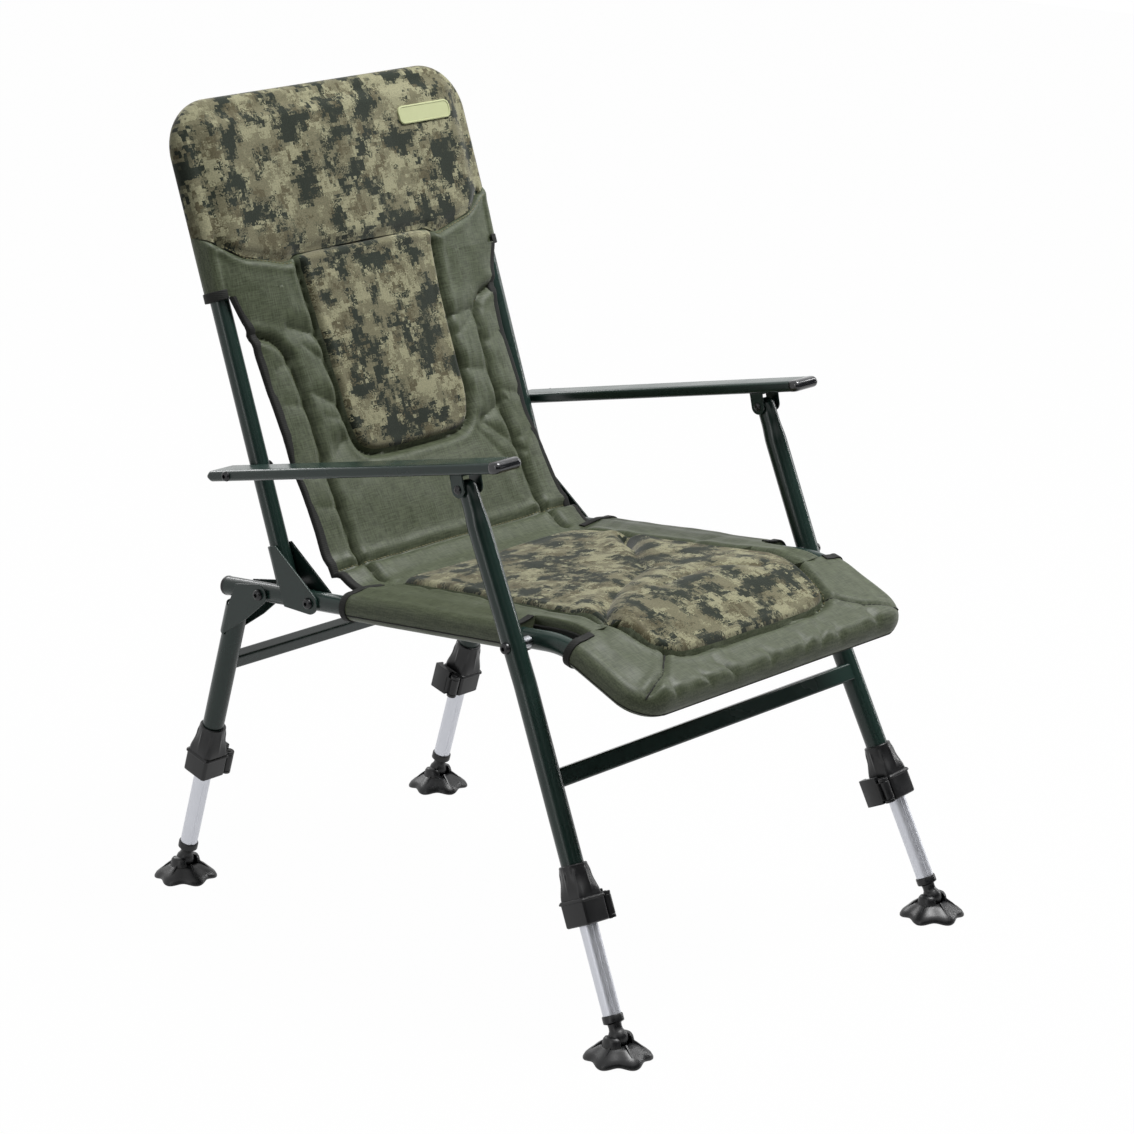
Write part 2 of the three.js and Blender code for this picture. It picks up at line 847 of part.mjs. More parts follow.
function backDepths(up, x, width, rim) {
  const inSleeve = up >= backSleeveStart;
  const edge = rimHeight(Math.abs(x) - (width - rim), rim);
  const inward = 1 - smooth(Math.abs(x), backChannelHalfWidth, width - rim);
  const panel = Math.max(Math.abs(x) - backPanelHalfWidth, backPanelFoot - up);
  const crown = backPanelCrown * smooth(-panel, 0, backPanelHalfWidth * half);
  const seams = Math.max(bell(panel, seamWidth), bell(Math.abs(x) - backChannelHalfWidth, seamWidth));
  const share = smooth(up, backPadFoot, backPadShoulder);
  const plain = THREE.MathUtils.lerp(backPadFootDepth, backPadShoulderDepth, share);
  const full = plain + crown - seamDepth * seams;
  if (inSleeve) {
    const ahead = Math.abs(x) > width - rim ? edge : THREE.MathUtils.lerp(edge, full, inward);
    return { ahead, behind: Math.min(edge, THREE.MathUtils.lerp(edge, backPadBehind, inward)) };
  }
  const bulge = backPadThickness * half * (edge / rim);
  const middle = plain - backPadEdgeDrop * (1 - inward) - backPadThickness * half;
  return { ahead: middle + bulge + (full - plain) * inward, behind: bulge - middle };
}

function backPad() {
  const sleeveRim = railTube * half + sleeveThickness;
  const widthAt = (up) => (up < backSleeveStart ? backHalfWidth(up) : frameHalfWidth + sleeveRim);
  const rimAt = (up) => (up < backSleeveStart ? backPadRim : sleeveRim);
  const rows = [
    ...backRowShares.map((share) => THREE.MathUtils.lerp(backPadFoot, backPadShoulder, share)),
    backSleeveStart,
    (backSleeveStart + headSeam) * half,
    headSeam,
  ];
  const place = (up, x, face) => {
    const { ahead, behind } = backDepths(up, x, widthAt(up), rimAt(up));
    return vector(x, backTubeOffset + (face < 0 ? -ahead : behind), up);
  };
  const body = pad(rows, (up) => padColumns(widthAt(up), rimAt(up)), place);
  const tunnel = sweep(circle(railTube * half + seatedGap), backFramePath());
  return mesh("back_pad", cut(body, tunnel), oliveNylon);
}

// How far the headrest stands ahead of the tube's axis: level under the badge, fuller in the middle
function headDepth(x, up, rim) {
  const outside = outsideTube(x, up, frameHalfWidth, backTubeTop, backCornerRadius);
  const edge = rimHeight(outside, rim);
  if (outside > 0) return edge;
  const across = 1 - smooth(Math.abs(x), badgeAcross + badgeWidth * half, frameHalfWidth);
  const level = headCrown * across * (1 - smooth(up, badgeUp + badgeHeight, backTubeTop));
  const middle = 1 - smooth(Math.abs(x), 0, badgeAcross - badgeWidth * half);
  return edge + level + headBelly * middle * (1 - smooth(up, badgeUp - badgeHeight, backTubeTop));
}

function headPad() {
  const rim = railTube * half + headSleeveThickness;
  const corner = backCornerRadius;
  const cornerUp = backTubeTop - corner;
  const widthAt = (up) => sleeveHalfWidth(up, frameHalfWidth, backTubeTop, corner, rim);
  const start = headSeam + seatedGap;
  const rows = [
    ...headStraightShares.map((share) => THREE.MathUtils.lerp(start, cornerUp, share)),
    ...headCurveShares.map((share) => cornerUp + share * corner),
    ...rimRows(backTubeTop, rim),
  ];
  const place = (up, x, face) => {
    const outside = outsideTube(x, up, frameHalfWidth, backTubeTop, corner);
    const depth = face < 0 ? -headDepth(x, up, rim) : rimHeight(outside, rim);
    return vector(x, backTubeOffset + depth, up);
  };
  const body = pad(rows, (up) => padColumns(widthAt(up), rim), place);
  const tunnel = sweep(circle(railTube * half + seatedGap), backFramePath());
  return mesh("head_pad", cut(body, tunnel), camoFleece);
}

function badge() {
  const shape = roundedRectangle(badgeWidth, badgeHeight, badgeCorner);
  const piece = mesh("head_badge", prismZ(shape, badgeThickness, 0), badgeRubber);
  const rim = railTube * half + headSleeveThickness;
  piece.rotation.x = quarterTurn;
  piece.position.set(badgeAcross, backTubeOffset - rim - headCrown - seatedGap, badgeUp);
  return piece;
}

// Armrests
function armOutline(length) {
  const r = armThickness * half;
  const shape = new THREE.Shape();
  shape.moveTo(-length, -r);
  shape.lineTo(armTail - r, -r);
  shape.absarc(armTail - r, 0, r, -quarterTurn, quarterTurn, false);
  shape.lineTo(-length, r);
  shape.closePath();
  return shape;
}

// A solid prism across X whose long edges are broken
function edgedPrism(shape, width, edge) {
  const options = {
    depth: width - edge * 2,
    bevelEnabled: true,
    bevelSize: edge,
    bevelThickness: edge,
    bevelOffset: -edge,
    bevelSegments: 2,
    curveSegments: 6,
  };
  const prism = new THREE.ExtrudeGeometry(shape, options);
  return prism.translate(0, 0, edge - width * half).rotateY(quarterTurn).rotateX(quarterTurn);
}

function armrest(name) {
  const outer = edgedPrism(armOutline(armReach + overrun), armWidth, armEdge);
  const trim = block(
    vector(-armWidth, -armReach - overrun * 2, -armThickness),
    vector(armWidth, -armReach, armThickness),
  );
  const hollow = block(
    vector(-armWidth * half + armWall, -armReach - overrun, -armThickness * half + armWall),
    vector(armWidth * half - armWall, armTail - armTailSolid, armThickness * half - armWall),
  );
  const hole = holeX(boltShank, armWidth + overrun * 2);
  return mesh(`armrest_${name}`, cut(outer, trim, hollow, hole), greenPaint);
}

function armCap(name) {
  const r = armThickness * half;
  const face = armReach + seatedGap;
  const shape = new THREE.Shape();
  shape.moveTo(-face, -r);
  shape.lineTo(-face, r);
  shape.lineTo(-face - armCapLength + r, r);
  shape.absarc(-face - armCapLength + r, 0, r, quarterTurn, -quarterTurn, false);
  shape.closePath();
  const nose = prismX(shape, armWidth, tubeFacets * half);
  const plug = block(
    vector(-armWidth * half + armWall + seatedGap, -face - overrun, -r + armWall + seatedGap),
    vector(armWidth * half - armWall - seatedGap, -armReach + armCapPlug, r - armWall - seatedGap),
  );
  return mesh(`arm_cap_${name}`, join(nose, plug), glossPlastic);
}

function clevis(name) {
  const top = -armThickness * half - seatedGap;
  const shape = new THREE.Shape();
  const r = clevisEar * half;
  shape.moveTo(r, top);
  shape.lineTo(-r, top);
  shape.absarc(0, -clevisDrop, r, -Math.PI, 0, false);
  shape.closePath();
  const bracket = prismX(shape, clevisWidth, 6);
  const gap = block(
    vector(-clevisWidth * half + clevisSheet, -clevisEar, -clevisDrop * 2),
    vector(clevisWidth * half - clevisSheet, clevisEar, top - clevisSheet),
  );
  const hole = holeX(rivetShank, clevisWidth + overrun * 2, 0, 0, -clevisDrop);
  const piece = mesh(`arm_clevis_${name}`, cut(bracket, gap, hole), greenPaint);
  piece.position.y = -clevisAhead;
  return piece;
}

function clevisRivet(name, where, outward) {
  const face = clevisWidth * half + seatedGap;
  const profile = [
    [0, face + rivetHeadHeight],
    [rivetHead * half * half, face + rivetHeadHeight],
    [rivetHead * half, face + rivetHeadHeight * half],
    [rivetHead * half, face],
    [rivetShank * half, face],
    [rivetShank * half, face - clevisSheet - rivetTail],
    [0, face - clevisSheet - rivetTail],
  ];
  const points = profile.map(([radius, along]) => new THREE.Vector2(radius, along));
  const geometry = new THREE.LatheGeometry(points.reverse(), roundFacets).rotateZ(-quarterTurn * outward);
  const piece = mesh(`clevis_rivet_${where}_${name}`, geometry, brightSteel);
  piece.position.set(0, -clevisAhead, -clevisDrop);
  return piece;
}

function armBolt(name, side) {
  const inner = frameHalfWidth - railTube * half - seatedGap;
  const geometry = boltGeometry(armOffset + armWidth * half + seatedGap, inner, 1);
  geometry.translate(-armOffset, 0, 0);
  if (side < 0) geometry.rotateZ(Math.PI);
  return mesh(`arm_bolt_${name}`, geometry, blackSteel);
}

function arm(name, side) {
  const position = vector(side * armOffset, armPivot.y, armPivot.z);
  return groupAt(
    position,
    -armPitch,
    armrest(name),
    armCap(name),
    clevis(name),
    clevisRivet(name, "outer", side),
    clevisRivet(name, "inner", -side),
    armBolt(name, side),
  );
}

// Frame bolts through rail and gusset
function hingeBolt(name, cheek) {
  const geometry = boltGeometry(cheek + seatedGap, -cheek - seatedGap, 1);
  return mesh(name, geometry, blackSteel);
}

function hingeBolts() {
  const backCheek = railTube * half + seatedGap + backGussetSheet;
  const legCheek = legTube * half + seatedGap + legGussetSheet;
  const pieces = [];
  for (const [name, side] of Object.entries(sides)) {
    const back = hingeBolt(`back_hinge_bolt_${name}`, backCheek);
    const rear = hingeBolt(`rear_hinge_bolt_${name}`, legCheek);
    back.position.x = side * frameHalfWidth;
    rear.position.set(side * frameHalfWidth, rearHingeBehind, 0);
    for (const piece of [back, rear]) {
      piece.rotation.z = side < 0 ? Math.PI : 0;
      pieces.push(piece);
    }
  }
  return pieces;
}

function legPivotBolt(name, side) {
  const head = armOffset + legTube * half + seatedGap;
  const nut = frameHalfWidth - railTube * half - seatedGap;
  const piece = mesh(`leg_pivot_bolt_${name}`, boltGeometry(head, nut, 1), blackSteel);
  piece.rotation.z = side < 0 ? Math.PI : 0;
  piece.position.y = -legPivotAhead;
  return piece;
}

function legPivotSpacer(name, side) {
  const inner = frameHalfWidth + railTube * half + seatedGap;
  const outer = armOffset - legTube * half - seatedGap;
  const wall = ring(pivotSpacer * half, (boltShank * half + seatedGap) / Math.cos(halfSector(roundFacets)));
  const geometry = prismZ(wall, outer, inner, roundFacets * half).rotateY(quarterTurn);
  const piece = mesh(`leg_pivot_spacer_${name}`, geometry, brightSteel);
  piece.rotation.z = side < 0 ? Math.PI : 0;
  piece.position.y = -legPivotAhead;
  return piece;
}

// Legs
function railPoint(ahead) {
  const y = backHinge.y - ahead * Math.cos(railPitch);
  return { y, z: backHinge.z + ahead * Math.sin(railPitch) };
}

const legPivot = railPoint(legPivotAhead);
const rearHinge = railPoint(-rearHingeBehind);
const upperLean = Math.atan2(frontLegTop.y - frontBend.y, frontLegTop.z - frontBend.z);
const tongueUp = Math.hypot(frontLegTop.y - legPivot.y, frontLegTop.z - legPivot.z);
const bendDown = Math.hypot(frontBend.y - legPivot.y, frontBend.z - legPivot.z);
const lowerRun = vector(frontFoot.x - armOffset, frontFoot.y - frontBend.y, ballHeight - frontBend.z);
const lowerLength = lowerRun.length();
const rearReach = Math.hypot(rearFoot.y - rearHinge.y, rearHinge.z - ballHeight);
const rearLegLength = Math.sqrt(rearReach ** 2 - rearLegOffset ** 2);
const rearSlope = Math.atan2(rearFoot.y - rearHinge.y, rearHinge.z - ballHeight);
const rearLean = rearSlope - Math.asin(rearLegOffset / rearReach);

function frontLegPath(diameterOver, from, to) {
  const run = lowerRun.clone().setX(diameterOver * lowerRun.x).normalize();
  run.applyAxisAngle(xAxis, upperLean);
  const bend = vector(0, 0, -bendDown);
  const foot = bend.clone().addScaledVector(run, from);
  return bentPath([foot, bend, vector(0, 0, to)], [frontBendRadius], bendSteps);
}

function legTubeEnd() {
  return lowerLength - lockAboveBall + lockCollarLength + lockOverlap;
}

function frontLeg(name, side) {
  const shoulder = tongueUp - tongueNeck;
  const borePath = frontLegPath(side, legTubeEnd() + overrun, shoulder - legWall);
  const outer = sweep(circle(legTube * half), frontLegPath(side, legTubeEnd(), shoulder));
  const bore = sweep(circle(legTube * half - legWall), borePath);
  const head = loft([
    ellipseRing(shoulder - legWall, legTube, legTube),
    ellipseRing(shoulder, legTube, legTube),
    ellipseRing(shoulder + tongueShoulder, tongueThickness, tongueWidth),
    ellipseRing(tongueUp, tongueThickness, tongueWidth),
    ellipseRing(tongueUp + tongueCrown * half, tongueThickness, tongueWidth * tongueEaseShare),
    ellipseRing(tongueUp + tongueCrown, tongueThickness * tongueEaseShare, tongueWidth * half),
  ]);
  const hole = holeX(boltShank, legTube + overrun * 2);
  const piece = mesh(`front_leg_${name}`, cut(join(outer, head), bore, hole), greenPaint);
  return groupAt(vector(side * armOffset, legPivot.y, legPivot.z), -upperLean, piece);
}

// A square cross bar between two legs, its ends saddled to them
function crossBar(name, width, legX, spread) {
  const frame = roundedRectangle(width, width, barEdge);
  frame.holes.push(roundedRectangle(width - barWall * 2, width - barWall * 2, barEdge - barWall));
  const bar = prismX(frame, legX * 2, 2);
  const saddles = Object.values(sides).map((side) => {
    const leg = holeZ(legTube, width * 2, -width * 2);
    return leg.rotateY(-side * spread).translate(side * legX, 0, 0);
  });
  return mesh(name, cut(bar, ...saddles), greenPaint);
}

function frontBar() {
  const share = frontBarDrop / lowerLength;
  const spread = Math.asin(lowerRun.x / lowerLength);
  const lean = Math.atan2(-lowerRun.y, -lowerRun.z);
  const bar = crossBar("front_cross_bar", frontBarTube, armOffset + lowerRun.x * share, spread);
  return groupAt(vector(0, frontBend.y + lowerRun.y * share, frontBend.z + lowerRun.z * share), -lean, bar);
}

// Lock body: a collar on the leg tube over a block with a lever between two lugs
function lockBody(name, inward) {
  const bottom = -lockCollarLength - lockBlockHeight;
  const length = lockCollarLength + overrun;
  const collar = new THREE.CylinderGeometry(lockCollar * half, lockBlock * half, length, tubeFacets);
  collar.rotateX(quarterTurn).translate(0, 0, -length * half);
  const base = prismZ(roundedRectangle(lockBlock, lockBlock, lockEdge), -lockCollarLength, bottom, 2);
  const rib = new THREE.Shape();
  rib.moveTo(-lockCollar * half, -lockRibReach);
  rib.lineTo(-lockBlock * half - lockRibReach * half, -lockCollarLength * half);
  rib.lineTo(-lockBlock * half, -lockCollarLength - overrun);
  rib.lineTo(lockBlock * half, -lockCollarLength - overrun);
  rib.lineTo(lockBlock * half + lockRibReach * half, -lockCollarLength * half);
  rib.lineTo(lockCollar * half, -lockRibReach);
  rib.closePath();
  const ribs = prismX(rib, lockRibWidth);
  const pinX = inward * leverPinX();
  const pinY = -lockBlock * half + leverPinInset;
  const lugs = [
    [-lockCollarLength, -lockCollarLength - leverLug],
    [bottom + leverLug, bottom],
  ].map(([high, low]) => lug(pinX, pinY, high, low, inward));
  const pinTop = -lockCollarLength - leverLug * half;
  const pin = rodZ(leverPin, pinTop, bottom + leverLug * half).translate(pinX, pinY, 0);
  const legBore = holeZ(legTube, overrun, -lockCollarLength - lockOverlap - seatedGap);
  const innerBore = holeZ(innerTube, overrun, bottom - overrun);
  const geometry = cut(join(collar, ribs, base, ...lugs, pin), legBore, innerBore);
  return mesh(name, geometry, blackPlastic);
}

function leverPinX() {
  return lockBlock * half + leverStandoff + leverEye * half;
}

function lug(x, y, high, low, inward) {
  const eye = rodZ(leverEye, high, low).translate(x, y, 0);
  const root = inward * (lockBlock * half - lockEdge);
  const web = block(
    vector(Math.min(root, x), y - leverPinInset * half, low),
    vector(Math.max(root, x), y + leverEye * half, high),
  );
  return join(eye, web);
}

// Cam lever: an eye round the pin and a plate that lies along the block
function lockLever(name, inward) {
  const high = -lockCollarLength - leverLug - seatedGap;
  const low = -lockCollarLength - lockBlockHeight + leverLug + seatedGap;
  const pinX = leverPinX();
  const pinY = -lockBlock * half + leverPinInset;
  const face = pinX + leverEye * half;
  const gripStart = pinY + leverEye * half + leverStandoff;
  const neck = block(vector(face - leverPlate, pinY, low), vector(face, gripStart + overrun, high));
  const grip = new THREE.Shape();
  grip.moveTo(face - leverPlate, gripStart);
  grip.lineTo(face, gripStart);
  grip.lineTo(face, lockBlock * half + leverPlate * half);
  grip.lineTo(face - leverGrip, lockBlock * half);
  grip.lineTo(face - leverPlate, lockBlock * half - leverPlate);
  grip.closePath();
  const gripTop = -lockCollarLength + leverLug;
  const gripFoot = -lockCollarLength - lockBlockHeight;
  const plate = prismZ(grip, gripTop, gripFoot);
  const eye = rodZ(leverEye, high, low).translate(pinX, pinY, 0);
  const bore = holeZ(leverPin, high + overrun, low - overrun).translate(pinX, pinY, 0);
  const geometry = cut(join(plate, neck, eye), bore);
  const piece = mesh(name, geometry, blackPlastic);
  if (inward < 0) piece.geometry = mirrored(geometry);
  return piece;
}

function mirrored(geometry) {
  const copy = geometry.clone().scale(-1, 1, 1);
  const index = copy.index.array;
  for (let i = 0; i < index.length; i += 3) {
    [index[i], index[i + 1]] = [index[i + 1], index[i]];
  }
  copy.computeVertexNormals();
  return copy;
}

function innerLeg(name) {
  const bottom = ferruleAboveBall + ferruleHeight + seatedGap;
  const top = lockAboveBall - lockCollarLength - lockBlockHeight + innerTubeInside;
  const wall = ring(innerTube * half, innerTube * half - innerWall);
  return mesh(name, prismZ(wall, top, bottom, tubeFacets * half), satinAluminium);
}

function ballStem(name) {
  const plug = plugRadius(innerTube - innerWall * 2);
  const neckAngle = Math.asin(stemNeck / ball);
  const profile = [];
  for (let i = 0; i <= roundFacets * half; i += 1) {
    const angle = THREE.MathUtils.lerp(Math.PI, neckAngle, i / (roundFacets * half));
    profile.push([Math.sin(angle) * ball * half, Math.cos(angle) * ball * half]);
  }
  profile[0][0] = 0;
  const top = ferruleAboveBall + ferruleHeight;
  profile.push(
    [stemNeck * half, ferruleAboveBall],
    [ferrule * half, ferruleAboveBall],
    [ferrule * half, top],
    [plug, top],
    [plug, top + stemPlug],
    [0, top + stemPlug],
  );
  const points = profile.map(([radius, along]) => new THREE.Vector2(radius, along));
  const geometry = new THREE.LatheGeometry(points, roundFacets).rotateX(quarterTurn);
  return mesh(name, geometry, blackPlastic);
}

// Foot: a lobed skirt round a boss that grips the ball, split so that the stem can tilt
function footRing(radius, z, lobe) {
  const count = footLobes * footLobePoints;
  return Array.from({ length: count }, (unused, i) => {
    const angle = (i / count) * fullTurn;
    const r = radius * (1 - lobe * (1 - Math.cos(footLobes * (angle - footTurn))));
    return vector(r * Math.cos(angle), r * Math.sin(angle), z);
  });
}

function foot(name) {
  const rim = footWidth * half;
  const crown = footCrown * half;
  const outer = loft([
    footRing(rim - footSkin * half, 0, footLobeShare),
    footRing(rim, footRimHeight * half, footLobeShare),
    footRing(rim, footRimHeight, footLobeShare),
    footRing(crown, footHeight, footLobeShare),
  ]);
  const under = loft([
    footRing(rim - footSkin * 2, -overrun, footLobeShare),
    footRing(rim - footSkin * 2, footRimHeight * half, footLobeShare),
    footRing(crown - footSkin, footBossHeight * half, 0),
  ]);
  const socketRadius = (ball * half + footBallGap) / Math.cos(halfSector(tubeFacets)) ** 2;
  const socket = new THREE.SphereGeometry(socketRadius, tubeFacets, tubeFacets * half);
  socket.rotateX(quarterTurn).translate(0, 0, ballHeight);
  const slot = block(
    vector(-footSlot * half, -footWidth, ballHeight - footBossHeight * half),
    vector(footSlot * half, footWidth, footHeight + overrun),
  );
  const piece = mesh(name, cut(outer, under, socket, slot), blackPlastic);
  return piece;
}

function legEnd(prefix, name, inward) {
  const group = new THREE.Group();
  const lock = lockBody(`${prefix}_lock_${name}`, inward);
  const lever = lockLever(`${prefix}_lock_lever_${name}`, inward);
  lock.position.z = lockAboveBall;
  lever.position.z = lockAboveBall;
  group.add(lock, lever, innerLeg(`${prefix}_inner_leg_${name}`), ballStem(`${prefix}_ball_stem_${name}`));
  return group;
}

function frontLegEnd(name, side) {
  const group = legEnd("front", name, -side);
  const up = lowerRun.clone().setX(side * lowerRun.x).negate().normalize();
  group.position.set(side * frontFoot.x, frontFoot.y, ballHeight);
  group.quaternion.setFromUnitVectors(zAxis, up);
  return group;
}

function footAt(prefix, name, x, y) {
  const piece = foot(`${prefix}_foot_${name}`);
  piece.position.set(x, y, 0);
  return piece;
}

// Rear leg, in a frame at its hinge whose Z runs up along the leg
function rearGussetOutline() {
  const r = legGussetEndRadius;
  const rear = rearLegOffset + channelBehindTube;
  const crown = { y: rear - legGussetCrownInset, z: -legGussetCrown };
  const chin = legGussetChin;
  const shape = new THREE.Shape();
  shape.moveTo(rear, -legGussetTail);
  shape.lineTo(rear, -legGussetKneeDrop);
  shape.lineTo(crown.y, crown.z);
  shape.absarc(0, 0, r, touchAngle(crown, r, 1), fullTurn + touchAngle(chin, r, -1), false);
  shape.lineTo(chin.y, chin.z);
  shape.closePath();
  return shape;
}

function rearGusset(name) {
  const geometry = gusset({
    outline: rearGussetOutline(),
    tubeY: rearLegOffset,
    tube: legTube,
    sheet: legGussetSheet,
    wrapTop: -rearLegHead,
    wrapBottom: -legGussetTail,
  });
  return mesh(`rear_gusset_${name}`, geometry, greenPaint);
}

function rearLegTube(name) {
  const end = lockAboveBall - lockCollarLength - lockOverlap - rearLegLength;
  const wall = ring(legTube * half, legTube * half - legWall);
  const piece = mesh(`rear_leg_${name}`, prismZ(wall, -rearLegHead, end, tubeFacets * half), greenPaint);
  piece.position.y = rearLegOffset;
  return piece;
}

function rearLeg(name, side) {
  const end = legEnd("rear", name, -side);
  end.position.set(0, rearLegOffset, -rearLegLength);
  const position = vector(side * frameHalfWidth, rearHinge.y, rearHinge.z);
  return groupAt(position, rearLean, rearGusset(name), rearLegTube(name), end);
}

function rearBar() {
  const bar = crossBar("rear_cross_bar", rearBarTube, frameHalfWidth, 0);
  bar.position.set(0, rearLegOffset, rearBarAboveBall - rearLegLength);
  return groupAt(vector(0, rearHinge.y, rearHinge.z), rearLean, bar);
}

// The chair
const hinge = vector(0, backHinge.y, backHinge.z);
const seatGroup = groupAt(hinge, -railPitch, seatFrame(), seatPad(), ...hingeBolts());
const backGroup = groupAt(hinge, -backLean, backFrame(), backPad(), headPad(), badge());
const flapGroup = groupAt(hinge, 0, lumbarFlap());
const chair = new THREE.Group();
chair.add(seatGroup, backGroup, flapGroup, frontBar(), rearBar());
for (const [name, side] of Object.entries(sides)) {
  seatGroup.add(railPlug(name, side), legPivotBolt(name, side), legPivotSpacer(name, side));
  backGroup.add(backGusset(name, side));
  chair.add(arm(name, side), frontLeg(name, side), frontLegEnd(name, side), rearLeg(name, side));
  chair.add(footAt("front", name, side * frontFoot.x, frontFoot.y));
  chair.add(footAt("rear", name, side * frameHalfWidth, rearFoot.y));
}

export default chair;
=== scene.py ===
import math

import bmesh
import bpy
import numpy as np
from bpy.props import FloatProperty, FloatVectorProperty, PointerProperty
from mathutils import Matrix, Quaternion, Vector


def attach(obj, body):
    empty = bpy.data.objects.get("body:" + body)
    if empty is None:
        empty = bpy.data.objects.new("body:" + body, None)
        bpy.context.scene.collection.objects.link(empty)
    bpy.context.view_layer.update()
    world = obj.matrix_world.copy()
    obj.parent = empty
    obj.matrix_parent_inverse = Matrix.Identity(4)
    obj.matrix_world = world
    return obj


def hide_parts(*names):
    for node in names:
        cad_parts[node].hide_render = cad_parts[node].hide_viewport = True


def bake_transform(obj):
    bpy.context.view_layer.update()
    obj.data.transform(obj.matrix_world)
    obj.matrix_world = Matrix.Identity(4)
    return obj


bl_info = {
    "name": "Folding Bank Chair",
    "version": (1, 0, 0),
    "blender": (4, 5, 0),
    "location": "View3D > Sidebar > Bank Chair",
    "description": "Dresses the frame of a folding bank chair in tube, cloth and moulded parts",
    "category": "Add Mesh",
}

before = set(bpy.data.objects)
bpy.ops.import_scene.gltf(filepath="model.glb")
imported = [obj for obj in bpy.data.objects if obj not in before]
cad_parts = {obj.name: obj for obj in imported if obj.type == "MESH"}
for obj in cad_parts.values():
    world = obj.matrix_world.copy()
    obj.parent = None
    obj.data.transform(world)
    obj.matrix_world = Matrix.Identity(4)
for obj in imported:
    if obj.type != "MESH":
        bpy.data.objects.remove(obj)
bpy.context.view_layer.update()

# Shapes are written in millimetres and turned to metres when a mesh is made
MM = 0.001
SIDES = {"left": -1, "right": 1}

# The frame, as the solids have it
HALF_WIDTH = 216.5
HINGE = Vector((0, 134.5, 389.6))
RAIL_PITCH = math.radians(4.1)
BACK_LEAN = math.radians(18.4)
REAR_HINGE_BEHIND = 80.6
LEG_PIVOT_AHEAD = 332.2
RAIL_END_BEHIND = 145.5
FRONT_TUBE_AHEAD = 479.5
FRONT_TUBE_DROP = 54
FRONT_DROP_ANGLE = math.radians(28.5)
FRONT_DROP_RADIUS = 120
FRONT_CORNER_RADIUS = 45
SEAT_COVER_CORNER = 28
BACK_TUBE_OFFSET = 38.5
BACK_TUBE_FOOT = 34
BACK_TUBE_TOP = 563
BACK_CORNER_RADIUS = 65
HEAD_COVER_CORNER = 46
ARM_OFFSET = 249.5
ARM_PIVOT = Vector((0, 221.4, 529))
ARM_PITCH = math.radians(11)
ARM_REACH = 408.5
ARM_TAIL = 33
ARM_THICKNESS = 12.5
CLEVIS_AHEAD = 354.5
CLEVIS_DROP = 22.5
FRONT_BEND = Vector((0, -213, 374.1))
FRONT_LEG_TOP = Vector((0, -130.9, 574.6))
FRONT_FOOT = Vector((275.6, -367.8, 24))
FRONT_BEND_RADIUS = 90
REAR_FOOT = Vector((216.5, 367.8, 24))
REAR_LEG_OFFSET = 39.3
REAR_LEG_HEAD = 37
FRONT_BAR_BELOW_BEND = 105.5
REAR_BAR_ABOVE_BALL = 274.5
LOCK_ABOVE_BALL = 188
LOCK_COLLAR_LENGTH = 36
LOCK_BLOCK = 35
LOCK_BLOCK_HEIGHT = 29
BALL_HEIGHT = 24


def rail_point(ahead):
    run = ahead * math.cos(RAIL_PITCH)
    return Vector((0, HINGE.y - run, HINGE.z + ahead * math.sin(RAIL_PITCH)))


def shift(x, y, z):
    return Matrix.Translation((x, y, z))


def placed(origin, turn):
    return shift(*origin) @ Matrix.Rotation(turn, 4, "X")


LEG_PIVOT = rail_point(LEG_PIVOT_AHEAD)
REAR_HINGE = rail_point(-REAR_HINGE_BEHIND)
UPPER_RUN = FRONT_LEG_TOP - FRONT_BEND
UPPER_LEAN = math.atan2(UPPER_RUN.y, UPPER_RUN.z)
TONGUE_UP = (FRONT_LEG_TOP - LEG_PIVOT).length
BEND_DOWN = (FRONT_BEND - LEG_PIVOT).length
LOWER_RUN = FRONT_FOOT - FRONT_BEND - Vector((ARM_OFFSET, 0, 0))
REAR_RUN = REAR_FOOT - REAR_HINGE - Vector((HALF_WIDTH, 0, 0))
REAR_LEG_LENGTH = math.sqrt(REAR_RUN.length_squared - REAR_LEG_OFFSET ** 2)
REAR_LEAN = math.atan2(REAR_RUN.y, -REAR_RUN.z) - math.asin(REAR_LEG_OFFSET / REAR_RUN.length)

SEAT_PLACE = placed(HINGE, -RAIL_PITCH)
BACK_PLACE = placed(HINGE, -BACK_LEAN)


def length(name, description, millimetres):
    return FloatProperty(name=name, description=description, default=millimetres * MM, unit="LENGTH")


def linear(code):
    channels = [int(code[i:i + 2], 16) / 255 for i in (1, 3, 5)]
    return [c / 12.92 if c <= 0.04045 else ((c + 0.055) / 1.055) ** 2.4 for c in channels]


def colour(name, description, code):
    return FloatVectorProperty(name=name, description=description, default=linear(code), subtype="COLOR")


class ChairTubes(bpy.types.PropertyGroup):
    rail: length("Rail tube", "Diameter of the seat and back tube", 22)
    leg: length("Leg tube", "Diameter of the outer leg tube", 25)
    inner: length("Inner leg", "Diameter of the sliding inner leg", 20)
    front_bar: length("Front bar", "Width of the square bar between the front legs", 20)
    rear_bar: length("Rear bar", "Width of the square bar between the rear legs", 16)
    arm_width: length("Arm width", "Width of the flat armrest tube", 40)


class ChairCloth(bpy.types.PropertyGroup):
    sleeve: length("Sleeve", "Padding between a tube and the face of its sleeve", 4.2)
    seam_depth: length("Seam depth", "Depth of a sewn channel", 6.5)
    seam_width: length("Seam width", "Half the width of a sewn channel", 3.2)
    panel_crown: length("Panel crown", "How far a fleece panel puffs up", 8)
    tape_width: length("Tape width", "Width of the binding tape over an edge", 11)
    stitch: length("Stitch", "Length of one stitch", 3.4)


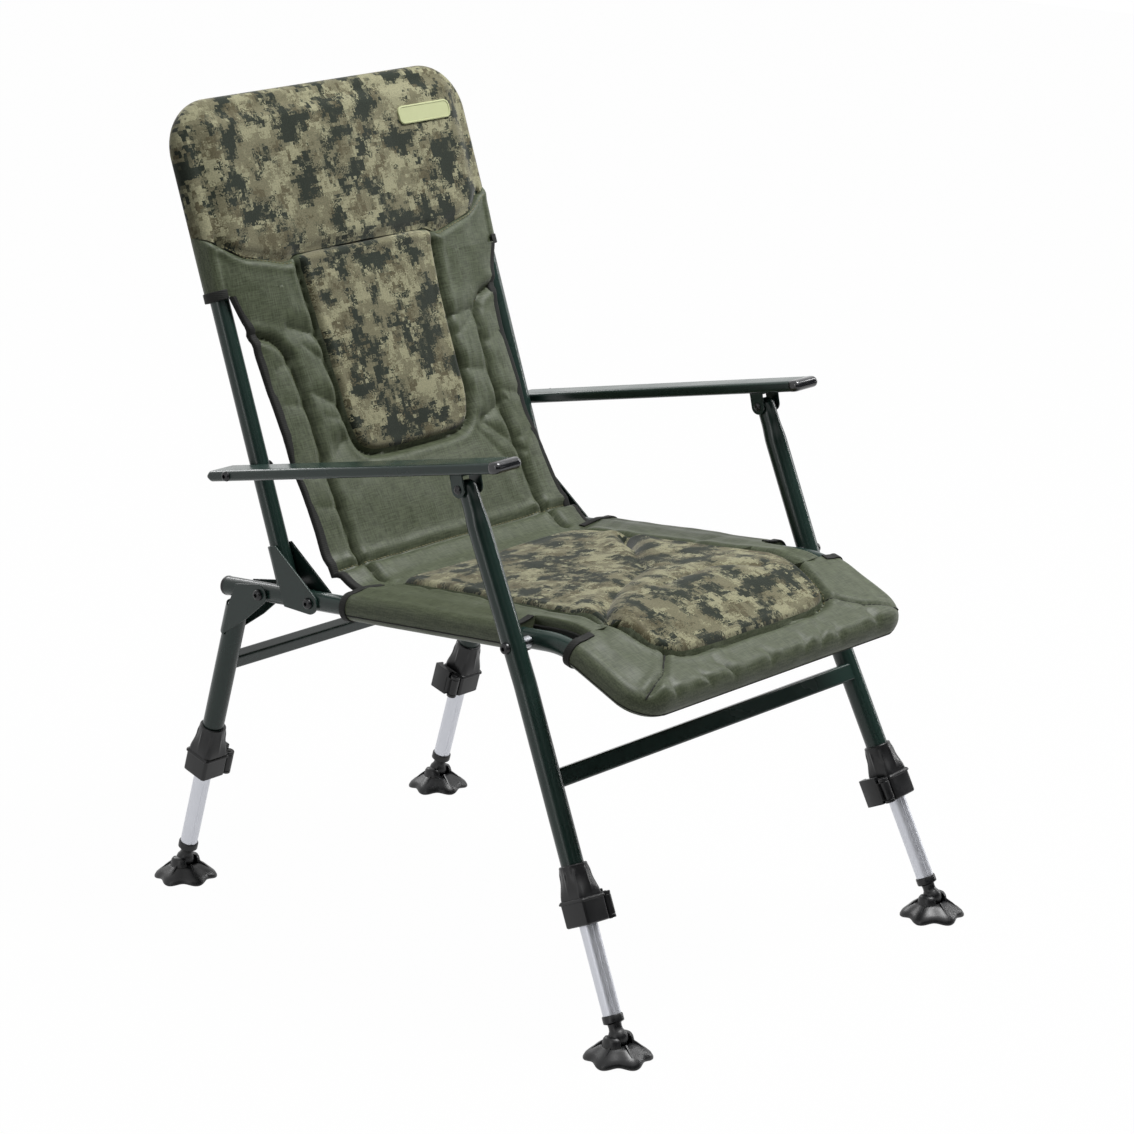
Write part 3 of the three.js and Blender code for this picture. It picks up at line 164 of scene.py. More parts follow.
class ChairColours(bpy.types.PropertyGroup):
    paint: colour("Paint", "Powder coat on the frame", "#1e302b")
    aluminium: colour("Aluminium", "Sliding inner legs", "#d2d4db")
    plastic: colour("Plastic", "Moulded locks and feet", "#0c0d0f")
    cap: colour("Cap", "Glossy armrest caps", "#1b1c1f")
    bolt: colour("Bolt", "Blackened bolts", "#18191b")
    steel: colour("Steel", "Plated rivets and spacers", "#9a9ca0")
    nylon: colour("Nylon", "Woven cover cloth", "#515843")
    nylon_dark: colour("Nylon shade", "Darker threads of the cover cloth", "#343a29")
    fleece_light: colour("Fleece light", "Palest patches of the camouflage", "#8d8b70")
    fleece_middle: colour("Fleece middle", "Middle patches of the camouflage", "#6d6a54")
    fleece_brown: colour("Fleece brown", "Brown patches of the camouflage", "#56513d")
    fleece_dark: colour("Fleece dark", "Dark patches of the camouflage", "#252b23")
    tape: colour("Tape", "Binding tape", "#10110e")
    thread: colour("Thread", "Sewing thread", "#6f6a4a")
    badge: colour("Badge", "Soft rubber badge", "#adb287")


# How finely the meshes are made
TUBE_FACETS = 48
BEND_STEPS = 20
SMOOTH_ANGLE = math.radians(38)
WELD = 0.02


def smooth(value, low, high):
    share = np.clip((value - low) / (high - low), 0, 1)
    return share * share * (3 - 2 * share)


def bell(distance, width):
    return np.exp(-((distance / width) ** 2))


def lerp(a, b, share):
    return a + (b - a) * share


# Mesh builders give (points, faces)
def loft(rings, ends=True):
    count = len(rings[0])
    points = [tuple(p) for ring in rings for p in ring]
    faces = []
    for r in range(len(rings) - 1):
        for i in range(count):
            j = (i + 1) % count
            faces.append((r * count + i, r * count + j, (r + 1) * count + j, (r + 1) * count + i))
    if ends:
        faces.append(tuple(reversed(range(count))))
        faces.append(tuple(range((len(rings) - 1) * count, len(rings) * count)))
    return points, faces


def combined(*shapes):
    points = []
    faces = []
    for shape_points, shape_faces in shapes:
        start = len(points)
        points += shape_points
        faces += [tuple(start + i for i in face) for face in shape_faces]
    return points, faces


def moved(shape, matrix):
    points, faces = shape
    return [tuple(matrix @ Vector(p)) for p in points], faces


def full_turn(count):
    return [2 * math.pi * i / count for i in range(count)]


def polar(radius, angle):
    return radius * math.cos(angle), radius * math.sin(angle)


def circle(radius_x, radius_y=None, count=TUBE_FACETS):
    radius_y = radius_x if radius_y is None else radius_y
    return [(radius_x * math.cos(a), radius_y * math.sin(a)) for a in full_turn(count)]


def rounded_box(width, height, radius, steps=6):
    outline = []
    for quarter in range(4):
        sign_x = 1 if quarter in (0, 3) else -1
        sign_y = 1 if quarter in (0, 1) else -1
        centre = (sign_x * (width / 2 - radius), sign_y * (height / 2 - radius))
        for i in range(steps + 1):
            angle = (quarter + i / steps) * math.pi / 2
            outline.append((centre[0] + radius * math.cos(angle), centre[1] + radius * math.sin(angle)))
    return outline


def ring_at(section, height):
    return [(x, y, height) for x, y in section]


def lathe(profile, count=TUBE_FACETS):
    return loft([ring_at(circle(max(radius, 0.01), count=count), height) for radius, height in profile])


def prism(outline, low, high):
    """A prism along X through an outline in Y and Z."""
    return loft([[(x, y, z) for y, z in outline] for x in (low, high)])


def bent_path(corners, radii):
    points = [Vector(corners[0])]
    for i in range(1, len(corners) - 1):
        here = Vector(corners[i])
        inward = (here - Vector(corners[i - 1])).normalized()
        outward = (Vector(corners[i + 1]) - here).normalized()
        turn = inward.angle(outward)
        start = here - inward * radii[i - 1] * math.tan(turn / 2)
        axis = inward.cross(outward).normalized()
        centre = start + axis.cross(inward) * radii[i - 1]
        for k in range(BEND_STEPS + 1):
            points.append(centre + Quaternion(axis, turn * k / BEND_STEPS) @ (start - centre))
    points.append(Vector(corners[-1]))
    return points


def sweep(path, sections, side=Vector((1, 0, 0))):
    """Carries a section along a path; one section for all points, or one for each."""
    rings = []
    across = side
    for i, point in enumerate(path):
        ahead = (path[min(i + 1, len(path) - 1)] - path[max(i - 1, 0)]).normalized()
        across = (across - ahead * across.dot(ahead)).normalized()
        up = ahead.cross(across)
        section = sections[i] if isinstance(sections[0], list) else sections
        rings.append([tuple(point + across * x + up * y) for x, y in section])
    return loft(rings)


def turned_out(shape, side):
    """Lays a shape along X, its top outwards on the given side."""
    return moved(shape, Matrix.Rotation(side * math.pi / 2, 4, "Y"))


def mirrored(shape):
    points, faces = shape
    return [(-x, y, z) for x, y, z in points], [tuple(reversed(face)) for face in faces]


def clean(mesh):
    """Joins the points that meet and turns every face outwards."""
    shape = bmesh.new()
    shape.from_mesh(mesh)
    bmesh.ops.remove_doubles(shape, verts=shape.verts, dist=WELD * MM)
    bmesh.ops.recalc_face_normals(shape, faces=shape.faces)
    shape.to_mesh(mesh)
    shape.free()


def linked(name, data):
    """A new object in the scene that shows a mesh, a lamp or a camera."""
    made = bpy.data.objects.new(name, data)
    bpy.context.collection.objects.link(made)
    return made


def piece(name, shape, place, body, kind, replaces=(), bevel=0.0, flat=None):
    """Makes a piece from a shape in millimetres and gives it its body and finish."""
    points, faces = shape
    mesh = bpy.data.meshes.new(name)
    mesh.from_pydata([(place @ Vector(p)) * MM for p in points], [], faces)
    if flat is not None:
        cloth = mesh.attributes.new("cloth", "FLOAT_VECTOR", "POINT")
        cloth.data.foreach_set("vector", (np.array(flat) * MM).ravel())
    clean(mesh)
    mesh.shade_smooth()
    mesh.set_sharp_from_angle(angle=SMOOTH_ANGLE)
    mesh.materials.append(FINISHES[kind])
    made = linked(name, mesh)
    if bevel:
        edge = made.modifiers.new("Broken edges", "BEVEL")
        edge.width = bevel * MM
        edge.segments = 3
        edge.limit_method = "ANGLE"
        edge.angle_limit = SMOOTH_ANGLE
        edge.harden_normals = True
    if body:
        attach(made, body)
    if replaces:
        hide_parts(*replaces)
    return made


# Materials
def add_node(tree, kind, inputs=None, **settings):
    made = tree.nodes.new(kind)
    for key, value in settings.items():
        setattr(made, key, value)
    for key, value in (inputs or {}).items():
        if isinstance(value, bpy.types.NodeSocket):
            tree.links.new(value, made.inputs[key])
        else:
            made.inputs[key].default_value = value
    return made


def rgba(value):
    return (*value, 1.0)


def per_metre(millimetres):
    """Texture scale for a pattern that repeats about every so many millimetres."""
    return 1 / (millimetres * MM)


def finish(name, inputs):
    """A material with a Principled shader and its numbers; gives the material, tree and shader."""
    material = bpy.data.materials.new(name)
    material.use_nodes = True
    tree = material.node_tree
    shader = tree.nodes["Principled BSDF"]
    for key, value in inputs.items():
        shader.inputs[key].default_value = value
    return material, tree, shader


DRIFT_SHARES = (0.3, 0.7)
DRIFT_DETAIL = 3.0
GRAIN_DETAIL = 2.0
NAP_DETAIL = 4.0


def noise_at(tree, vector, size, detail, **inputs):
    """A noise whose grain has a real size; its output lies between 0 and 1."""
    scale = {"Vector": vector, "Scale": per_metre(size), "Detail": detail}
    return add_node(tree, "ShaderNodeTexNoise", {**scale, **inputs}).outputs["Fac"]


def pressed(tree, shader, height, strength, depth):
    """Turns a height into bump, pressed in to a real depth."""
    bump = add_node(tree, "ShaderNodeBump", {"Height": height, "Strength": strength, "Distance": depth * MM})
    tree.links.new(bump.outputs["Normal"], shader.inputs["Normal"])


def grain(tree, shader, vector, size, strength, depth, detail=GRAIN_DETAIL):
    """Bump from a noise whose grain has a real size, pressed in to a real depth."""
    pressed(tree, shader, noise_at(tree, vector, size, detail), strength, depth)


def object_vector(tree):
    return add_node(tree, "ShaderNodeTexCoord").outputs["Object"]


def drifting(tree, vector, size, low, high):
    """A number that drifts between two values over patches of a real size."""
    return add_node(
        tree,
        "ShaderNodeMapRange",
        {
            "Value": noise_at(tree, vector, size, DRIFT_DETAIL),
            "From Min": DRIFT_SHARES[0],
            "From Max": DRIFT_SHARES[1],
            "To Min": low,
            "To Max": high,
        },
    ).outputs["Result"]


def mottled(tree, shader, vector, size, low, high):
    """Lets the roughness drift between two values."""
    tree.links.new(drifting(tree, vector, size, low, high), shader.inputs["Roughness"])


def powder_coated_steel(paint):
    # Sprayed and baked polyester powder: satin, with a faint orange peel
    material, tree, shader = finish(
        "powder coated steel",
        {"Base Color": rgba(paint), "Specular IOR Level": 0.38},
    )
    vector = object_vector(tree)
    mottled(tree, shader, vector, 60, 0.22, 0.30)
    grain(tree, shader, vector, 1.6, 0.02, 0.1)
    return material


def drawn_aluminium(metal):
    # Anodised after drawing: fine streaks along the tube, a soft sheen
    values = {"Base Color": rgba(metal), "Metallic": 0.75}
    material, tree, shader = finish("drawn anodised aluminium", values)
    mapping = add_node(
        tree,
        "ShaderNodeMapping",
        {"Vector": object_vector(tree), "Scale": (1.0, 1.0, 0.02)},
    )
    mottled(tree, shader, mapping.outputs["Vector"], 3, 0.34, 0.42)
    return material


def moulded_nylon(plastic):
    # Glass-filled nylon from a spark-eroded mould: a fine matt grain, dull highlights
    material, tree, shader = finish(
        "moulded glass-filled nylon",
        {"Base Color": rgba(plastic), "Specular IOR Level": 0.42},
    )
    vector = object_vector(tree)
    mottled(tree, shader, vector, 25, 0.30, 0.44)
    grain(tree, shader, vector, 1.1, 0.07, 0.1)
    return material


def polished_abs(cap):
    # ABS from a polished mould: nearly mirror smooth, with faint handling marks
    material, tree, shader = finish("moulded polished ABS", {"Base Color": rgba(cap), "Coat Weight": 0.4})
    mottled(tree, shader, object_vector(tree), 12, 0.14, 0.26)
    return material


def blackened_steel(bolt):
    # Black oxide over a forged head: dark metal with an oiled gleam
    material, tree, shader = finish("blackened steel", {"Base Color": rgba(bolt), "Metallic": 0.2})
    mottled(tree, shader, object_vector(tree), 4, 0.22, 0.36)
    return material


def plated_steel(steel):
    # Bright zinc plate on turned steel
    material, tree, shader = finish("zinc plated steel", {"Base Color": rgba(steel), "Metallic": 1.0})
    mottled(tree, shader, object_vector(tree), 3, 0.2, 0.34)
    return material


def cloth_vector(tree):
    """Place on the flat cloth, in metres, which stays with the cloth as it bends."""
    return add_node(tree, "ShaderNodeAttribute", attribute_name="cloth").outputs["Vector"]


THREAD_PITCH = 1.3
SLUB_WIDTH = 1.5
SLUB_SHARE = 0.1
SLUB_LEVELS = (0.75, 1.25)
TAPE_RIB = 2

# A wave texture repeats every 0.314 units at a scale of one
WAVE_SHARE = 0.314


def slubs(tree, vector, stretch):
    """Uneven threads that run one way: a noise drawn out along them."""
    drawn_out = add_node(tree, "ShaderNodeMapping", {"Vector": vector, "Scale": stretch})
    return noise_at(tree, drawn_out.outputs["Vector"], SLUB_WIDTH, GRAIN_DETAIL)


def woven_nylon(bright, dark):
    # Coated woven nylon with slubby threads 0.5 mm apart, which are drawn coarser so that they show
    material, tree, shader = finish(
        "woven nylon",
        {"Sheen Weight": 0.03, "Sheen Roughness": 0.4, "Specular IOR Level": 0.3},
    )
    vector = cloth_vector(tree)
    bands = []
    for axis in ("X", "Y"):
        bands.append(add_node(
            tree,
            "ShaderNodeTexWave",
            {
                "Vector": vector,
                "Scale": WAVE_SHARE * per_metre(THREAD_PITCH),
                "Distortion": 1.5,
                "Detail Scale": 2.0,
            },
            bands_direction=axis,
        ).outputs["Fac"])
    weave = add_node(tree, "ShaderNodeMath", {0: bands[0], 1: bands[1]}, operation="MULTIPLY")
    warp = slubs(tree, vector, (1.0, SLUB_SHARE, 1.0))
    weft = slubs(tree, vector, (SLUB_SHARE, 1.0, 1.0))
    crossed = add_node(tree, "ShaderNodeMath", {0: warp, 1: weft}, operation="ADD")
    spread = add_node(
        tree,
        "ShaderNodeMapRange",
        {"Value": crossed.outputs["Value"], "From Min": SLUB_LEVELS[0], "From Max": SLUB_LEVELS[1]},
    )
    threads = mixed(tree, spread.outputs["Result"], rgba(dark), rgba(bright))
    tree.links.new(threads, shader.inputs["Base Color"])
    mottled(tree, shader, vector, 30, 0.42, 0.56)
    pressed(tree, shader, weave.outputs["Value"], 0.35, 0.2)
    return material


CAMOUFLAGE_CELL = 4.3
PRINT_BLUR = 0.024
PRINT_DETAIL = 4.0
PRINT_EDGE_SHARE = 0.72
NAP_CLUMP = 2.2
NAP_SHIFT = 3.8
NAP_HAIR = 1.8
NAP_SHADES = (0.74, 1.2)

# Each print colour: its place in the palette, patch size, threshold and offset in the noise
PRINT_LAYERS = (
    ("fleece_middle", 38, 0.49, 3.1),
    ("fleece_brown", 25, 0.565, 7.7),
    ("fleece_dark", 33, 0.52, 12.3),
)


def vector_math(tree, operation, *values):
    inputs = dict(enumerate(values))
    return add_node(tree, "ShaderNodeVectorMath", inputs, operation=operation).outputs["Vector"]


def mixed(tree, share, first, second):
    """A colour between two, by a share."""
    return add_node(
        tree,
        "ShaderNodeMix",
        {"Factor": share, 6: first, 7: second},
        data_type="RGBA",
    ).outputs[2]


def print_squares(tree, vector):
    """Places snapped to the print's squares, whose edges the nap makes ragged."""
    nap = add_node(
        tree,
        "ShaderNodeTexNoise",
        {"Vector": vector, "Scale": per_metre(NAP_CLUMP), "Detail": DRIFT_DETAIL},
    )
    shift = vector_math(tree, "SUBTRACT", nap.outputs["Color"], (0.5, 0.5, 0.5))
    ragged = vector_math(tree, "MULTIPLY_ADD", shift, (NAP_SHIFT * MM,) * 3, vector)
    return vector_math(tree, "SNAP", ragged, (CAMOUFLAGE_CELL * MM,) * 3)


def print_mask(tree, squares, patch, threshold, offset):
    """Where one print colour lies, with a soft edge."""
    place = vector_math(tree, "ADD", squares, (offset, offset / 2, offset / 3))
    noise = noise_at(tree, place, patch, PRINT_DETAIL, Roughness=PRINT_EDGE_SHARE)
    return add_node(
        tree,
        "ShaderNodeMapRange",
        {"Value": noise, "From Min": threshold - PRINT_BLUR, "From Max": threshold + PRINT_BLUR},
        interpolation_type="SMOOTHSTEP",
    ).outputs["Result"]


def camouflage_fleece(colours):
    # Brushed polyester fleece printed with square patches: matt, with a short nap that blurs the print
    material, tree, shader = finish(
        "brushed printed fleece",
        {"Roughness": 0.95, "Sheen Weight": 0.18, "Sheen Roughness": 0.5, "Specular IOR Level": 0.15},
    )
    vector = cloth_vector(tree)
    squares = print_squares(tree, vector)
    shade = rgba(colours.fleece_light)
    for name, patch, threshold, offset in PRINT_LAYERS:
        mask = print_mask(tree, squares, patch, threshold, offset)
        shade = mixed(tree, mask, shade, rgba(getattr(colours, name)))
    nap = drifting(tree, vector, NAP_HAIR, *NAP_SHADES)
    worn = add_node(tree, "ShaderNodeHueSaturation", {"Value": nap, "Color": shade})
    tree.links.new(worn.outputs["Color"], shader.inputs["Base Color"])
    grain(tree, shader, vector, 1.9, 0.55, 0.7, NAP_DETAIL)
    return material


def ribbed_tape(tape):
    # Woven polypropylene binding tape: cross ribs 2 mm apart, a dry sheen
    material, tree, shader = finish(
        "woven polypropylene tape",
        {"Base Color": rgba(tape), "Roughness": 0.75, "Sheen Weight": 0.03, "Specular IOR Level": 0.3},
    )
    ribs = add_node(
        tree,
        "ShaderNodeTexWave",
        {"Vector": object_vector(tree), "Scale": WAVE_SHARE * per_metre(TAPE_RIB), "Distortion": 0.6},
        bands_direction="Z",
    )
    pressed(tree, shader, ribs.outputs["Fac"], 0.5, 0.3)
    return material


def twisted_thread(thread):
    # Twisted polyester thread: soft, slightly lighter than the cloth
    material, tree, shader = finish("twisted polyester thread", {"Base Color": rgba(thread)})
    mottled(tree, shader, object_vector(tree), 2, 0.6, 0.8)
    return material


def moulded_rubber(badge):
    # Soft PVC rubber from a fine mould: matt, slightly uneven
    material, tree, shader = finish("moulded soft rubber", {"Base Color": rgba(badge)})
    vector = object_vector(tree)
    mottled(tree, shader, vector, 8, 0.5, 0.65)
    grain(tree, shader, vector, 1.0, 0.2, 0.1)
    return material


FINISHES = {}


def make_finishes(colours):
    FINISHES.update({
        "paint": powder_coated_steel(colours.paint),
        "aluminium": drawn_aluminium(colours.aluminium),
        "plastic": moulded_nylon(colours.plastic),
        "cap": polished_abs(colours.cap),
        "bolt": blackened_steel(colours.bolt),
        "steel": plated_steel(colours.steel),
        "nylon": woven_nylon(colours.nylon, colours.nylon_dark),
        "fleece": camouflage_fleece(colours),
        "tape": ribbed_tape(colours.tape),
        "thread": twisted_thread(colours.thread),
        "badge": moulded_rubber(colours.badge),
    })


# Tube work
RAIL_PLUG_RIM = ((0, -2), (0.4, 0), (0.2, 1.8), (-1.5, 3.4))
RAIL_PLUG_CROWN = 3.9
BRACKET_GAP = 0.3
BRACKET_FACETS = 24
EYE_STEPS = 28
BACK_BRACKET_TOP = 71
BACK_BRACKET_TIP = 9
BACK_BRACKET_HEEL = 1.5
BACK_BRACKET_SHEET = 2.5
BACK_BRACKET_EYE = 13
BACK_BRACKET_BEVEL = 0.6
WRAP_START = 2.5
WRAP_CLEARANCE = 1


def knee_ahead():
    """How far ahead of the hinge the seat tube turns down."""
    return FRONT_TUBE_AHEAD - FRONT_TUBE_DROP / math.tan(FRONT_DROP_ANGLE)


def seat_tube_path():
    x = HALF_WIDTH
    right = [(x, -FRONT_TUBE_AHEAD, -FRONT_TUBE_DROP), (x, -knee_ahead(), 0), (x, RAIL_END_BEHIND, 0)]
    left = [(-across, y, z) for across, y, z in reversed(right)]
    radii = [FRONT_DROP_RADIUS, FRONT_CORNER_RADIUS, FRONT_CORNER_RADIUS, FRONT_DROP_RADIUS]
    return bent_path(left + right, radii)


def make_seat_tube(tubes):
    radius = tubes.rail / MM / 2
    tube = sweep(seat_tube_path(), circle(radius), side=Vector((0, 0, 1)))
    piece("seat_tube", tube, SEAT_PLACE, "seat", "paint", ("seat_frame",))
    rim = [(radius + growth, along) for growth, along in RAIL_PLUG_RIM]
    cap = lathe([(0, rim[0][1]), *rim, (0, RAIL_PLUG_CROWN)])
    for name, side in SIDES.items():
        place = SEAT_PLACE @ shift(side * HALF_WIDTH, RAIL_END_BEHIND, 0)
        backwards = place @ Matrix.Rotation(-math.pi / 2, 4, "X")
        piece(f"rail_end_{name}", cap, backwards, "seat", "plastic", (f"rail_plug_{name}",))


def make_back_tube(tubes):
    y = BACK_TUBE_OFFSET
    left = [(-HALF_WIDTH, y, BACK_TUBE_FOOT), (-HALF_WIDTH, y, BACK_TUBE_TOP)]
    right = [(HALF_WIDTH, y, BACK_TUBE_TOP), (HALF_WIDTH, y, BACK_TUBE_FOOT)]
    path = bent_path(left + right, [BACK_CORNER_RADIUS] * 2)
    tube = sweep(path, circle(tubes.rail / MM / 2), side=Vector((0, 1, 0)))
    piece("back_tube", tube, BACK_PLACE, "back", "paint", ("back_frame",))


def touch_angle(point, radius, side):
    distance = math.hypot(*point)
    return math.atan2(point[1], point[0]) + side * math.acos(radius / distance)


def eye_arc(tip, heel, radius):
    """The round end of a plate about a bolt, between two straight edges."""
    start = touch_angle(tip, radius, 1)
    end = 2 * math.pi + touch_angle(heel, radius, -1)
    angles = [start + (end - start) * i / EYE_STEPS for i in range(EYE_STEPS + 1)]
    return [polar(radius, a) for a in angles]


def folded_bracket(outline, tube_y, tube_radius, sheet, top, bottom):
    """Two cheeks and the half round that joins them behind the tube."""
    inner = tube_radius + BRACKET_GAP
    outer = inner + sheet
    cheeks = [prism(outline, side * inner, side * outer) for side in (-1, 1)]
    turns = [math.pi * i / BRACKET_FACETS for i in range(BRACKET_FACETS + 1)]
    band = [(outer * math.cos(a), tube_y + outer * math.sin(a)) for a in turns]
    band += [(inner * math.cos(a), tube_y + inner * math.sin(a)) for a in reversed(turns)]
    return combined(*cheeks, loft([ring_at(band, bottom), ring_at(band, top)]))


def make_back_brackets(tubes):
    radius = tubes.rail / MM / 2
    rear = BACK_TUBE_OFFSET + WRAP_START
    tip = (rear - BACK_BRACKET_TIP, BACK_BRACKET_TOP)
    heel = (rear, BACK_BRACKET_HEEL)
    outline = [heel, (rear, BACK_BRACKET_TOP), tip] + eye_arc(tip, heel, BACK_BRACKET_EYE)
    reach = BACK_TUBE_OFFSET + radius + BACK_BRACKET_SHEET
    slope = BACK_LEAN - RAIL_PITCH
    bottom = reach * math.tan(slope) + radius / math.cos(slope) + WRAP_CLEARANCE
    shape = folded_bracket(outline, BACK_TUBE_OFFSET, radius, BACK_BRACKET_SHEET, BACK_BRACKET_TOP, bottom)
    for name, side in SIDES.items():
        place = BACK_PLACE @ shift(side * HALF_WIDTH, 0, 0)
        solids = (f"back_gusset_{name}",)
        piece(f"back_bracket_{name}", shape, place, "back", "paint", solids, BACK_BRACKET_BEVEL)


# Bolts lie along X with their heads outward; each profile gives a share of the head and a depth
BOLT_FACETS = 36
BOLT_HEAD = 13
BOLT_HEAD_HEIGHT = 4.5
BOLT_SHANK = 8
BOLT_SEAT = 0.3
SOCKET_WIDTH = 5
SOCKET_RINGS = ((0.2, 2.8), (1, 2.6), (1, 0.1))
HEAD_DOME = ((0.5, 0.05), (0.72, 0.5), (0.88, 1.5), (0.97, 3.0))
NUT_DOME = ((1.0, 0), (1.0, 2.5), (0.86, 3.2), (0.62, 5.2), (0.25, 6.0))
CHEEK_GAP = 0.6
WASHER_RADIUS = 9.5
WASHER_BORE = 4.2
WASHER_INSET = 1
WASHER_LEAST = 0.5
BUSH_RADIUS = 6.5
BUSH_ENDS = (-0.4, 0.6)


def hexagon_share(angle):
    sector = math.pi / 3
    return math.cos(sector / 2) / math.cos((angle + sector / 2) % sector - sector / 2)


def bolt_ring(radius, along):
    return ring_at(circle(radius, count=BOLT_FACETS), along)


def bolt_shape(head_face, nut_face, side, head=BOLT_HEAD, height=BOLT_HEAD_HEIGHT):
    """A button head with a hexagon socket, a shank, and a domed nut."""
    hexagon = [polar(SOCKET_WIDTH / 2 * hexagon_share(a), a) for a in full_turn(BOLT_FACETS)]
    top = head_face + height
    rings = []
    for share, drop in SOCKET_RINGS:
        rings.append(ring_at([(x * share, y * share) for x, y in hexagon], top - drop))
    rings += [bolt_ring(head / 2 * share, top - drop) for share, drop in HEAD_DOME + ((1, height),)]
    rings += [bolt_ring(BOLT_SHANK / 2, face) for face in (head_face, nut_face)]
    rings += [bolt_ring(head / 2 * share, nut_face - drop) for share, drop in NUT_DOME]
    return turned_out(loft(rings), side)


def washer_shape(outer, low, high, side):
    section = ((outer, low), (outer, high), (WASHER_BORE, high), (WASHER_BORE, low), (outer, low))
    rings = [bolt_ring(radius, along) for radius, along in section]
    return turned_out(loft(rings, ends=False), side)


def make_bolts(tubes):
    rail = tubes.rail / MM / 2
    leg = tubes.leg / MM / 2
    hinges = (
        ("back_hinge", 0, rail + CHEEK_GAP + BACK_BRACKET_SHEET),
        ("rear_hinge", REAR_HINGE_BEHIND, leg + CHEEK_GAP + LEG_BRACKET_SHEET),
    )
    for name, side in SIDES.items():
        for label, behind, cheek in hinges:
            place = SEAT_PLACE @ shift(side * HALF_WIDTH, behind, 0)
            bolt = bolt_shape(cheek, -cheek, side)
            piece(f"{label}_screw_{name}", bolt, place, "seat", "bolt", (f"{label}_bolt_{name}",))
            face = cheek - WASHER_INSET
            if face > rail + WASHER_LEAST:
                washers = [washer_shape(WASHER_RADIUS, end * rail, end * face, side) for end in (-1, 1)]
                piece(f"{label}_washers_{name}", combined(*washers), place, "seat", "plastic")
        place = SEAT_PLACE @ shift(0, -LEG_PIVOT_AHEAD, 0)
        pivot = bolt_shape(ARM_OFFSET + leg + BOLT_SEAT, HALF_WIDTH - rail - BOLT_SEAT, side)
        piece(f"leg_pivot_screw_{name}", pivot, place, "seat", "bolt", (f"leg_pivot_bolt_{name}",))
        low = HALF_WIDTH + rail + BUSH_ENDS[0]
        bush = washer_shape(BUSH_RADIUS, low, ARM_OFFSET - leg + BUSH_ENDS[1], side)
        piece(f"leg_pivot_bush_{name}", bush, place, "seat", "steel", (f"leg_pivot_spacer_{name}",))


# Armrests
ARM_ROUND = 4.5
ARM_TAIL_STEPS = 8
ARM_TAIL_TAPER = 3
ARM_TAIL_EDGE = 0.3
ARM_TAIL_ROUND_SHARE = 0.49
ARM_CAP_STEPS = (
    (0, -0.2), (0.6, 0.25), (2.5, 0.35), (5, 0.3), (8, 0), (10.5, -0.9), (12.2, -2.3), (13, -4.4),
)
ARM_CAP_ROUND = 4.8
ARM_CAP_EDGE = 0.05
CLEVIS_EAR = 9
CLEVIS_INNER = 13
CLEVIS_OUTER = 15
CLEVIS_PLATE = 2
CLEVIS_BEVEL = 0.5
ARM_BOLT_HEAD = 12
ARM_BOLT_HEIGHT = 3.5
ARM_BOLT_SEAT = 0.2
RIVET_PROFILE = (
    (1.6, 12.4), (3.0, 12.4), (3.0, 15), (4.6, 15), (4.7, 15.7), (3.9, 16.8), (2.2, 17.3), (1.4, 16.6),
)


def arm_section(width, height, radius):
    return rounded_box(width, height, radius, steps=7)


def arm_place(side):
    return placed(Vector((side * ARM_OFFSET, ARM_PIVOT.y, ARM_PIVOT.z)), -ARM_PITCH)


def arm_tube_shape(width):
    half = ARM_THICKNESS / 2
    rings = []
    for i in range(ARM_TAIL_STEPS + 1):
        angle = math.pi / 2 * (1 - i / ARM_TAIL_STEPS)
        height = max(ARM_THICKNESS * math.cos(angle), ARM_TAIL_EDGE)
        radius = min(ARM_ROUND, height * ARM_TAIL_ROUND_SHARE)
        section = arm_section(width - ARM_TAIL_TAPER * (1 - math.cos(angle)), height, radius)
        rings.append([(x, ARM_TAIL - half + half * math.sin(angle), z) for x, z in section])
    rings.append([(x, -ARM_REACH, z) for x, z in arm_section(width, ARM_THICKNESS, ARM_ROUND)])
    return loft(rings)


def arm_cap_shape(width):
    rings = []
    for reach, growth in ARM_CAP_STEPS:
        radius = min(ARM_CAP_ROUND, ARM_THICKNESS / 2 + growth - ARM_CAP_EDGE)
        section = arm_section(width + growth * 2, ARM_THICKNESS + growth * 2, radius)
        rings.append([(x, -ARM_REACH - reach, z) for x, z in section])
    return loft(rings)


def clevis_shape():
    top = -ARM_THICKNESS / 2
    ear = CLEVIS_EAR
    arc = [(ear * math.cos(a), -CLEVIS_DROP + ear * math.sin(a)) for a in np.linspace(-math.pi, 0, 25)]
    outline = [(ear, top), (-ear, top)] + arc
    sheets = [prism(outline, side * CLEVIS_INNER, side * CLEVIS_OUTER) for side in (-1, 1)]
    low = top - CLEVIS_PLATE
    plate = prism([(ear, low), (ear, top), (-ear, top), (-ear, low)], -CLEVIS_OUTER, CLEVIS_OUTER)
    return moved(combined(*sheets, plate), shift(0, -CLEVIS_AHEAD, 0))


def rivet_shape(outward):
    rings = [ring_at(circle(radius, count=32), along) for radius, along in RIVET_PROFILE]
    return moved(turned_out(loft(rings), outward), shift(0, -CLEVIS_AHEAD, -CLEVIS_DROP))


